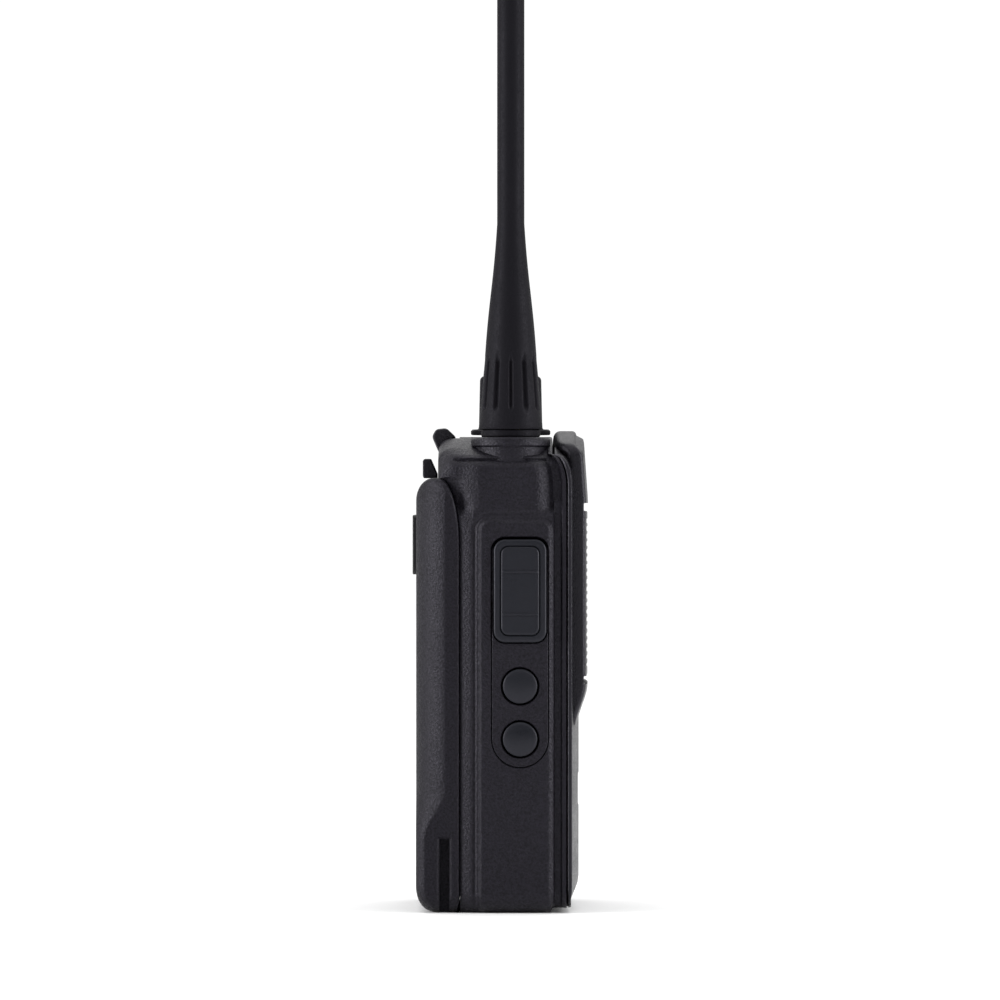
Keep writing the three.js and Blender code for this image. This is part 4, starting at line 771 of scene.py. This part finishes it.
# Plan sections stacked in height: the foot and the top roll in, the front follows the housing's sweep.
def batteryCase():
    p = pack
    top = packHigh[2]
    height, depth = p["footRoll"]
    topHeight, topDepth = p["topRoll"]
    chamferHeight, chamferDepth = p["footChamfer"]
    half = p["width"] / 2
    zs = np.concatenate([
        height * (1 - np.cos(np.linspace(0, np.pi / 2, 14))),
        np.linspace(7.6, p["footTop"], 6),
        np.linspace(p["footTop"], p["waistTop"], 16)[1:],
        np.linspace(34, 90, 12),
        np.linspace(91, top - topHeight, 14),
        top - topHeight + topHeight * np.sin(np.linspace(0, np.pi / 2, 14))[1:],
    ])
    rings = []
    for z in zs:
        over = roundOff((z - top + topHeight) / topHeight)
        back = packBackY - depth * roundOff((height - z) / height) - topDepth * over
        ahead = sweepAt(min(z, top - 0.05), p["gap"])
        ahead += chamferDepth * np.clip((chamferHeight - z) / chamferHeight, 0, 1)
        w = half - p["cornerRound"] * roundOff((p["cornerRound"] - z) / p["cornerRound"]) - 3.4 * over
        r = blend(p["footRound"], p["backRound"], smooth((z - p["footTop"]) / (p["waistTop"] - p["footTop"])))
        r = min(r, max(back - ahead - 1.0, 0.12))
        section = packSection(ahead, back, w, min(0.7, max((back - ahead) / 4, 0.05)), r)
        rings.append(np.column_stack([section, np.full(len(section), z)]))
    return ringMesh("batteryCase", rings)


case = batteryCase()
lidLow, lidHigh = boxOf("battery_lid")
lowerCell, upperHigh = boxOf("battery_cell_lower")[0], boxOf("battery_cell_upper")[1]
pocket = outlineOf(lidLow, lidHigh, "y", 0.3, 1.0, 6)
combine(case, slab("pocket", pocket, [(packY - 2, 0), (lidHigh[1] + 0.4, 0)], "y"))
cells = outlineOf(lowerCell, upperHigh, "y", 0.4, 1.5, 6)
combine(case, slab("cellPocket", cells, [(packY - 2, 0), (upperHigh[1] + 0.4, 0)], "y"))
for side in [-1, 1]:
    wide = roundedRect(pack["slotFront"] - 0.5, -2, pack["slotRear"] + 0.5, pack["slotTop"] + 0.5, 0.5, 5)
    deep = roundedRect(pack["slotFront"], -2, pack["slotRear"], pack["slotTop"], 0.5, 5)
    edge = side * pack["width"] / 2
    combine(case, slab("lip", wide, [(edge + side * 2, -0.2), (edge, -0.1), (edge - side * 0.5, 0.4)], "x"))
    combine(case, slab("guide", deep, [(edge + side * 2, 0), (edge - side * pack["slotDepth"], 0)], "x"))
for side in [-1, 1]:
    tongue = roundedRect(side * 9 - 4.5, 6.4, side * 9 + 4.5, 8.6, 0.5, 5)
    combine(case, slab("tongue", tongue, edged(packY + 1.2, packLow[1], 0.5), "y"), "UNION")
finish(case, "battery", "pack_plastic", ["battery_case"])
print("battery case made:", len(case.data.polygons))

antenna = dict(baseRadius=7.95, neckRadius=6.9, neckHeight=13.6, waistRadius=6.55, waistHeight=17.2,
               rodRadius=3.42, rodHeight=51.6, flutes=12, fluteFrom=4.6, fluteTo=18.0, fluteDepth=0.75,
               boreRadius=4.6)


# One profile turned about the antenna: fluted base, waist, a taper s - 0.04 sin(2 pi s), rod and round tip.
def antennaWhip():
    a = antenna
    z0, z1 = collarHigh[2] + 0.04, whipHigh[2]
    length = z1 - z0
    base, rod, bore, tip = a["baseRadius"], a["rodRadius"], a["boreRadius"], 3.2
    neck, waist = (a["neckRadius"], a["neckHeight"]), (a["waistRadius"], a["waistHeight"])
    s = np.linspace(0, 1, 26)[1:]
    taper = np.column_stack([blend(waist[0], rod, s - 0.04 * np.sin(2 * np.pi * s)),
                             blend(waist[1], a["rodHeight"], s)])
    profile = np.concatenate([
        [(0.02, 9.0), (bore, 9.0), (bore, 0)],
        [(base - 0.45, 0), (base - 0.12, 0.12), (base, 0.45), (base, 1.2)],
        leg((base, 1.2), neck, np.linspace(0.08, 1, 24)),
        leg(neck, waist, np.linspace(0, 1, 14)[1:]),
        taper,
        leg((rod, a["rodHeight"] + 4), (rod, length - tip), np.linspace(0, 1, 12)),
        bow((0, length - tip), (rod, tip), np.linspace(0, 1.5, 12)[1:]),
    ]) + [0, z0]

    def flutes(radius, along, angle):  # grooves of depth d cos^3, faded at both ends
        height = along - z0
        span = smooth((height - a["fluteFrom"]) / 1.2) * (1 - smooth((height - a["fluteTo"] + 1.2) / 1.2))
        groove = np.clip(np.cos(angle * a["flutes"]), 0, 1) ** 3
        return radius - a["fluteDepth"] * groove * span * (radius > a["boreRadius"] + 0.2)

    return lathe("antennaWhip", (antennaX, controlsY), profile, steps=240, shape=flutes)


finish(antennaWhip(), "antenna", "soft_rubber", ["antenna_whip"], 40)
low, high = collarLow[2], collarHigh[2]
collar = lathe("antennaCollar", (antennaX, controlsY), [
    (3.3, low), (7.1, low), (7.4, low + 0.25), (7.4, high - 0.45), (7.28, high - 0.13), (6.95, high),
    (3.3, high),
])
combine(collar, lathe("bore", (antennaX, controlsY), [(3.32, low - 2), (3.32, high + 2)]))
finish(collar, "radio", "soft_rubber", ["antenna_collar"])
print("antenna made")

knobs = dict(
    channel=dict(flutes=14, skirt=1.4, radius=8.1, skirtRadius=10.1, top=1.3),
    volume=dict(flutes=12, skirt=1.2, radius=6.4, skirtRadius=7.4, top=1.1),
)


# One profile turned about the knob: hollow foot, skirt, tapered side, rounded top with a shallow dish.
def controlKnob(name):
    k = knobs[name]
    low, high = boxOf(f"{name}_knob")
    centre = (low + high) / 2
    nutHigh = boxOf(f"{name}_nut")[1][2]
    z0, z1 = low[2], high[2]
    skirt = z0 + k["skirt"]
    r, c, flare = k["radius"], k["top"], k["skirtRadius"]
    top = r - 0.25 - c
    profile = np.concatenate([
        [(0.02, z1 - 3), (3.1, z1 - 3), (3.1, nutHigh + 0.4), (5.5, nutHigh + 0.4), (5.5, z0)],
        [(flare - 0.25, z0), (flare, z0 + 0.25), (flare, skirt - 0.4), (flare - 0.4, skirt)],
        [(r + 0.4, skirt + 0.02), (r + 0.1, skirt + 0.2), (r, skirt + 0.55)],
        leg((r, skirt + 0.6), (r - 0.25, z1 - c), np.linspace(0, 1, 16)),
        bow((top, z1 - c), (c, c), np.linspace(0, np.pi / 2, 8)[1:]),
        [(top - 0.6, z1 - 0.1), (top - 1.0, z1 - 0.25), (0.02, z1 - 0.25)],
    ])

    def grip(radius, along, angle):  # shallow scallops round the knob's side
        span = smooth((along - skirt - 0.8) / 1.0) * (1 - smooth((along - z1 + c) / 1.0))
        scallop = np.clip(np.cos(angle * k["flutes"] + np.pi), 0, 1) ** 2
        return radius - 0.5 * scallop * span * (radius > r - 1.5)

    knob = lathe(f"{name}Knob", centre[:2], profile, steps=168, shape=grip)
    markLow, markHigh = boxOf(f"{name}_pointer")
    seat = outlineOf(markLow, markHigh, "z", 0.1, 0.3, 4)
    combine(knob, slab("seat", seat, [(z1 - 0.6, 0), (z1 + 1, 0)], "z"))
    finish(knob, f"{name}_knob", "soft_rubber", [f"{name}_knob"], 40)
    bar = outlineOf(markLow, markHigh, "z", 0, 0.3, 5)
    mark = slab(f"{name}Mark", bar, edged(markLow[2], markHigh[2] - 0.12, 0.12), "z")
    finish(mark, f"{name}_knob", "white_mark", [f"{name}_pointer"])


for name in knobs:
    controlKnob(name)
print("knobs made")

keys = dict(edge=0.6, padEdge=0.55, ribHeight=0.3, dome=0.55)


def talkKey():  # a cap with a countersunk seat, and in it a pad with two ribs across
    low, high = boxOf("ptt_button")
    padLow, padHigh = boxOf("ptt_pad")
    sides = [*edged(high[0], low[0], keys["edge"], steps=8), (low[0] - 0.02, keys["edge"] + 0.5)]
    cap = slab("talkKey", outlineOf(low, high, "x", 0, 2.9, 14), sides, "x")
    sink = [(low[0] - 2, -0.6), (low[0] - 0.05, -0.2), (low[0] + 0.2, 0), (padHigh[0] + 0.05, 0)]
    combine(cap, slab("padSeat", outlineOf(padLow, padHigh, "x", 0.12, 2.0, 12), sink, "x"))
    finish(cap, "talk_key", "key_rubber", ["ptt_button"])
    face = padLow[0] + 0.25
    outline = outlineOf(padLow, padHigh, "x", 0, 1.9, 12)
    pad = slab("talkPad", outline, edged(padHigh[0], face, keys["padEdge"], steps=7), "x")
    for share in [0.32, 0.72]:
        z = high[2] + 0.4 - share * (high[2] - low[2] + 0.8)
        rib = roundedRect(padLow[1] + 0.3, z - 0.3, padHigh[1] - 0.3, z + 0.3, 0.25, 4)
        rise = edged(face + 0.4, face - keys["ribHeight"], 0.25, steps=4)
        combine(pad, slab("rib", rib, rise, "x"), "UNION")
    finish(pad, "talk_key", "key_rubber", ["ptt_pad"])


def roundKey(name, node, body):  # a drum with a rounded shoulder and a dome d s^2.2
    low, high = boxOf(node)
    middle = (low + high) / 2
    radius = (high[1] - low[1]) / 2
    face, d = low[0], keys["dome"]
    rim = radius - 0.2
    s = np.linspace(1, 0.02, 14)[1:]
    profile = np.concatenate([
        [(0.02, high[0]), (radius - 0.1, high[0]), (radius, high[0] - 0.1), (radius, face + d + 0.35)],
        bow((radius - 0.35, face + d + 0.35), (0.35, -0.35), np.linspace(0.2, 1.1, 5)),
        np.column_stack([rim * s, face + d * s**2.2]),
    ])
    finish(lathe(name, (middle[1], middle[2]), profile, "x", 56), body, "key_rubber", [node], 50)


talkKey()
roundKey("upperKey", "upper_side_button", "upper_key")
roundKey("lowerKey", "lower_side_button", "lower_key")


def keyBezel():  # a plate with countersunk openings for the three keys
    low, high = boxOf("side_key_bezel")
    plate = slab("keyBezel", keyOpening(-0.02), edged(high[0], low[0], 0.25), "x")
    pttLow, pttHigh = boxOf("ptt_button")
    shape = roundedRect(pttLow[1] - 0.18, pttLow[2] - 0.18, pttHigh[1] + 0.18, pttHigh[2] + 4, 3.05, 14)
    rim = [(low[0] - 1, -0.4), (low[0] - 0.02, -0.18), (low[0] + 0.2, 0), (high[0] + 1, 0)]
    combine(plate, slab("pttHole", shape, rim, "x"))
    for node in ["upper_side_button", "lower_side_button"]:
        buttonLow, buttonHigh = boxOf(node)
        middle = (buttonLow + buttonHigh) / 2
        radius = (buttonHigh[1] - buttonLow[1]) / 2 + 0.42
        hole = [(radius + 0.9, low[0] - 1), (radius + 0.2, low[0] - 0.02), (radius, low[0] + 0.22),
                (radius, high[0] + 1)]
        combine(plate, lathe("keyHole", (middle[1], middle[2]), hole, "x", 56))
    finish(plate, "radio", "housing_plastic", ["side_key_bezel"])


keyBezel()
print("side keys made")

jackOutline = outlineOf(jackLow, jackHigh, "x", 0, 3.0, 14)
cover = slab("jackCover", jackOutline, edged(jackLow[0], jackHigh[0], 1.0, 0.3, 8), "x")
recess = roundedRect(jackLow[1] + 3.0, jackLow[2] + 4, jackHigh[1] - 3.0, jackHigh[2] - 4, 1.8, 10)
face = jackHigh[0]
combine(cover, slab("recess", recess, [(face + 1, -0.5), (face - 0.02, -0.2), (face - 0.35, 0.15)], "x"))
finish(cover, "jack_cover", "soft_rubber", ["jack_cover"])
print("jack cover made")

latch = dict(
    rounding=0.9,
    corner=0.8,
    # side view round the pin: (back, up) in mm
    outline=[(3.0, 2.6), (4.3, 5.7), (3.3, 7.6), (0.6, 7.9), (-1.9, 5.5), (-0.3, 4.6), (-1.5, 0.8),
             (-1.5, -2.5), (-0.2, -3.6), (1.2, -3.0), (1.4, -0.5)],
)


# Polygon with each corner replaced by a parabola: (1 - t)^2 a + 2 t (1 - t) corner + t^2 b.
def softPolygon(points, corner, steps=7):
    points = np.array(points, float)
    before, after = np.roll(points, 1, 0) - points, np.roll(points, -1, 0) - points
    lengthBefore = np.linalg.norm(before, axis=1)[:, None]
    lengthAfter = np.linalg.norm(after, axis=1)[:, None]
    a = points + before / lengthBefore * np.minimum(corner, lengthBefore * 0.45)
    b = points + after / lengthAfter * np.minimum(corner, lengthAfter * 0.45)
    t = np.linspace(0, 1, steps)[None, :, None]
    curve = (1 - t) ** 2 * a[:, None] + 2 * t * (1 - t) * points[:, None] + t**2 * b[:, None]
    outline = curve.reshape(-1, 2)
    tangent = np.roll(outline, -1, 0) - np.roll(outline, 1, 0)
    normal = np.column_stack([tangent[:, 1], -tangent[:, 0]])
    return outline, normal / np.linalg.norm(normal, axis=1)[:, None]


def batteryLatch():  # the soft polygon carried across, bored for its pin, with room for the spring
    pinLow, pinHigh = boxOf("latch_pin")
    springLow, springHigh = boxOf("latch_spring")
    pin = (pinLow + pinHigh) / 2
    outline, normal = softPolygon(latch["outline"], latch["corner"])
    half, r = latchHigh[0], latch["rounding"]
    turn = np.linspace(0, np.pi / 2, 6)
    inset, reach = 0.5 * r * (1 - np.cos(turn)), half - r * (1 - np.sin(turn))
    profile = np.concatenate([np.column_stack([-reach, inset])[::-1], np.column_stack([reach, inset])])
    lever = slab("batteryLatch", (outline + pin[1:], normal), profile, "x")
    radius = (pinHigh[1] - pinLow[1]) / 2 + 0.08
    combine(lever, lathe("bore", pin[1:], [(radius, -half - 1), (radius, half + 1)], "x", 24))
    radius = (springHigh[1] - springLow[1]) / 2 + 0.2
    room = [(radius, springLow[0] - 0.3), (radius, springHigh[0] + 0.3)]
    combine(lever, lathe("coilRoom", pin[1:], room, "x", 24))
    finish(lever, "latch", "trim_plastic", ["battery_latch"])


batteryLatch()
print("latch made")

rail = dict(corner=1.1, edge=0.3, grooveAt=4.9, grooveWide=1.1, grooveDeep=0.5, catchWide=4.4, catchHigh=2.6)


def clipRail():  # a rounded plate with two open grooves, a catch and two screw sinks
    r = rail
    low, high = boxOf("clip_rail")
    back = high[1]
    outline = outlineOf(low, high, "y", 0, r["corner"], 6)
    plate = slab("clipRail", outline, edged(low[1] - 0.1, back, r["edge"]), "y")
    half = r["grooveWide"] / 2
    for side in [-1, 1]:
        middle = side * r["grooveAt"]
        groove = roundedRect(middle - half, low[2] + 2.6, middle + half, high[2] + 3, half * 0.98, 6)
        cut = [(back + 1, -0.6), (back - 0.1, -0.1), (back - r["grooveDeep"], 0.1)]
        combine(plate, slab("groove", groove, cut, "y"))
        screwLow, screwHigh = boxOf("rail_screw_1" if side < 0 else "rail_screw_2")
        centre = (screwLow + screwHigh) / 2
        radius = (screwHigh[0] - screwLow[0]) / 2 + 0.12
        wider = radius + 0.35
        sink = [(radius, low[1] - 1), (radius, back - 0.3), (wider, back + 0.05), (wider, back + 1)]
        combine(plate, lathe("sink", (centre[0], centre[2]), sink, "y", 32))
    foot = low[2] + 3.4
    catch = roundedRect(-r["catchWide"] / 2, foot, r["catchWide"] / 2, foot + r["catchHigh"], 0.5, 5)
    combine(plate, slab("catch", catch, [(back + 1, -0.2), (back - 0.05, -0.1), (back - 0.6, 0.1)], "y"))
    finish(plate, "battery", "black_steel", ["clip_rail"])


clipRail()
print("belt clip rail made")
# The other nodes keep the frame's meshes: their edges are eased, by these widths in mm or by 0.1.
eased = {
    "battery_thumb_tab": 0.7, "rear_chassis": 0.25, "led_lens": 0.35, "jack_block": 0.2, "contact_block": 0.2,
    "battery_lid": 0.2, "rail_screw_1": 0.12, "rail_screw_2": 0.12, "main_board": 0.1, "rf_shield": 0.3,
    "logic_shield": 0.3, "battery_cell_lower": 0.4, "battery_cell_upper": 0.4, "channel_switch": 0.25,
    "volume_control": 0.25, "ptt_switch": 0.15, "upper_switch": 0.15, "lower_switch": 0.15,
}
slots = {part["node"]: part["material_slot"] for part in frame["record"]["subparts"]}
for node, obj in frame["nodes"].items():
    if obj.hide_render:
        continue
    obj.data.materials.clear()
    obj.data.materials.append(materialFor(slots[node]))
    weld = obj.modifiers.new("weld", "WELD")
    weld.merge_threshold = 5e-6
    bevel = obj.modifiers.new("edges", "BEVEL")
    bevel.width = eased.get(node, 0.1) * mm
    bevel.segments = 3 if node in eased else 2
    bevel.limit_method = "ANGLE"
    bevel.angle_limit = np.radians(35)
print("frame nodes finished")

studio = dict(
    cameraDistance=1500.0,
    viewHeight=249.0,
    floorSize=20000.0,
    dim=0.02,
    bright=0.65,
    overhead=1.35,
)


def studioFloor():  # one wide slab just under the radio
    size = studio["floorSize"]
    outline = roundedRect(-size, -size, size, size, 10, 4)
    floor = slab("floor", outline, [(-6, 0), (-0.05, 0)], "z")
    pale = plainFinish("paleFloor", (0.9, 0.9, 0.9), 400, spread=0.01, detail=2, sockets={"Roughness": 0.9})
    floor.data.materials.append(pale)


def softLight(name, place, target, size, power):  # a rectangle of light that faces its target
    light = bpy.data.lights.new(name, "AREA")
    light.shape = "RECTANGLE"
    light.size, light.size_y = size[0] * mm, size[1] * mm
    light.energy = power
    obj = bpy.data.objects.new(name, light)
    obj.location = Vector(place) * mm
    obj.rotation_euler = (Vector(target) - Vector(place)).to_track_quat("-Z", "Y").to_euler()
    bpy.context.scene.collection.objects.link(obj)


studioFloor()
middle = (0, 0, 90)
softLight("rearSide", (-300, 860, 200), middle, (300, 800), 10.0)
softLight("frontSide", (-300, -860, 200), middle, (300, 800), 8.5)


# Brightness by direction: dim behind the camera, bright to the sides, above and behind the radio.
def studioWorld():
    world = bpy.data.worlds.new("studio")
    world.use_nodes = True
    tree = world.node_tree
    background = tree.nodes["Background"]
    background.inputs["Color"].default_value = (1, 1, 1, 1)
    place = tree.nodes.new("ShaderNodeTexCoord")
    parts = tree.nodes.new("ShaderNodeSeparateXYZ")
    tree.links.new(place.outputs["Generated"], parts.inputs["Vector"])
    along = between(tree, parts.outputs["X"], studio["dim"], studio["bright"], -0.15, 0.6, "SMOOTHSTEP")
    upward = between(tree, parts.outputs["Z"], 0.0, studio["overhead"], 0.15, 0.9, "SMOOTHSTEP")
    rays = tree.nodes.new("ShaderNodeLightPath")
    seen = tree.nodes.new("ShaderNodeMix")  # the backdrop itself is plain white
    tree.links.new(rays.outputs["Is Camera Ray"], seen.inputs["Factor"])
    tree.links.new(added(tree, along, upward), seen.inputs["A"])
    seen.inputs["B"].default_value = 1.05
    tree.links.new(seen.outputs["Result"], background.inputs["Strength"])
    bpy.context.scene.world = world


studioWorld()
bpy.context.scene.view_settings.view_transform = "Standard"

camera = bpy.data.cameras.new("camera")
camera.sensor_width = 36
camera.lens = 36 * studio["cameraDistance"] / studio["viewHeight"]
camera.clip_start = 0.05
camera.clip_end = 50
cameraObject = bpy.data.objects.new("camera", camera)
cameraObject.location = Vector((bodyLow[0] - studio["cameraDistance"], 0.1, 103)) * mm
cameraObject.rotation_euler = (np.pi / 2, 0, -np.pi / 2)
bpy.context.scene.collection.objects.link(cameraObject)
bpy.context.scene.camera = cameraObject
print("studio ready")
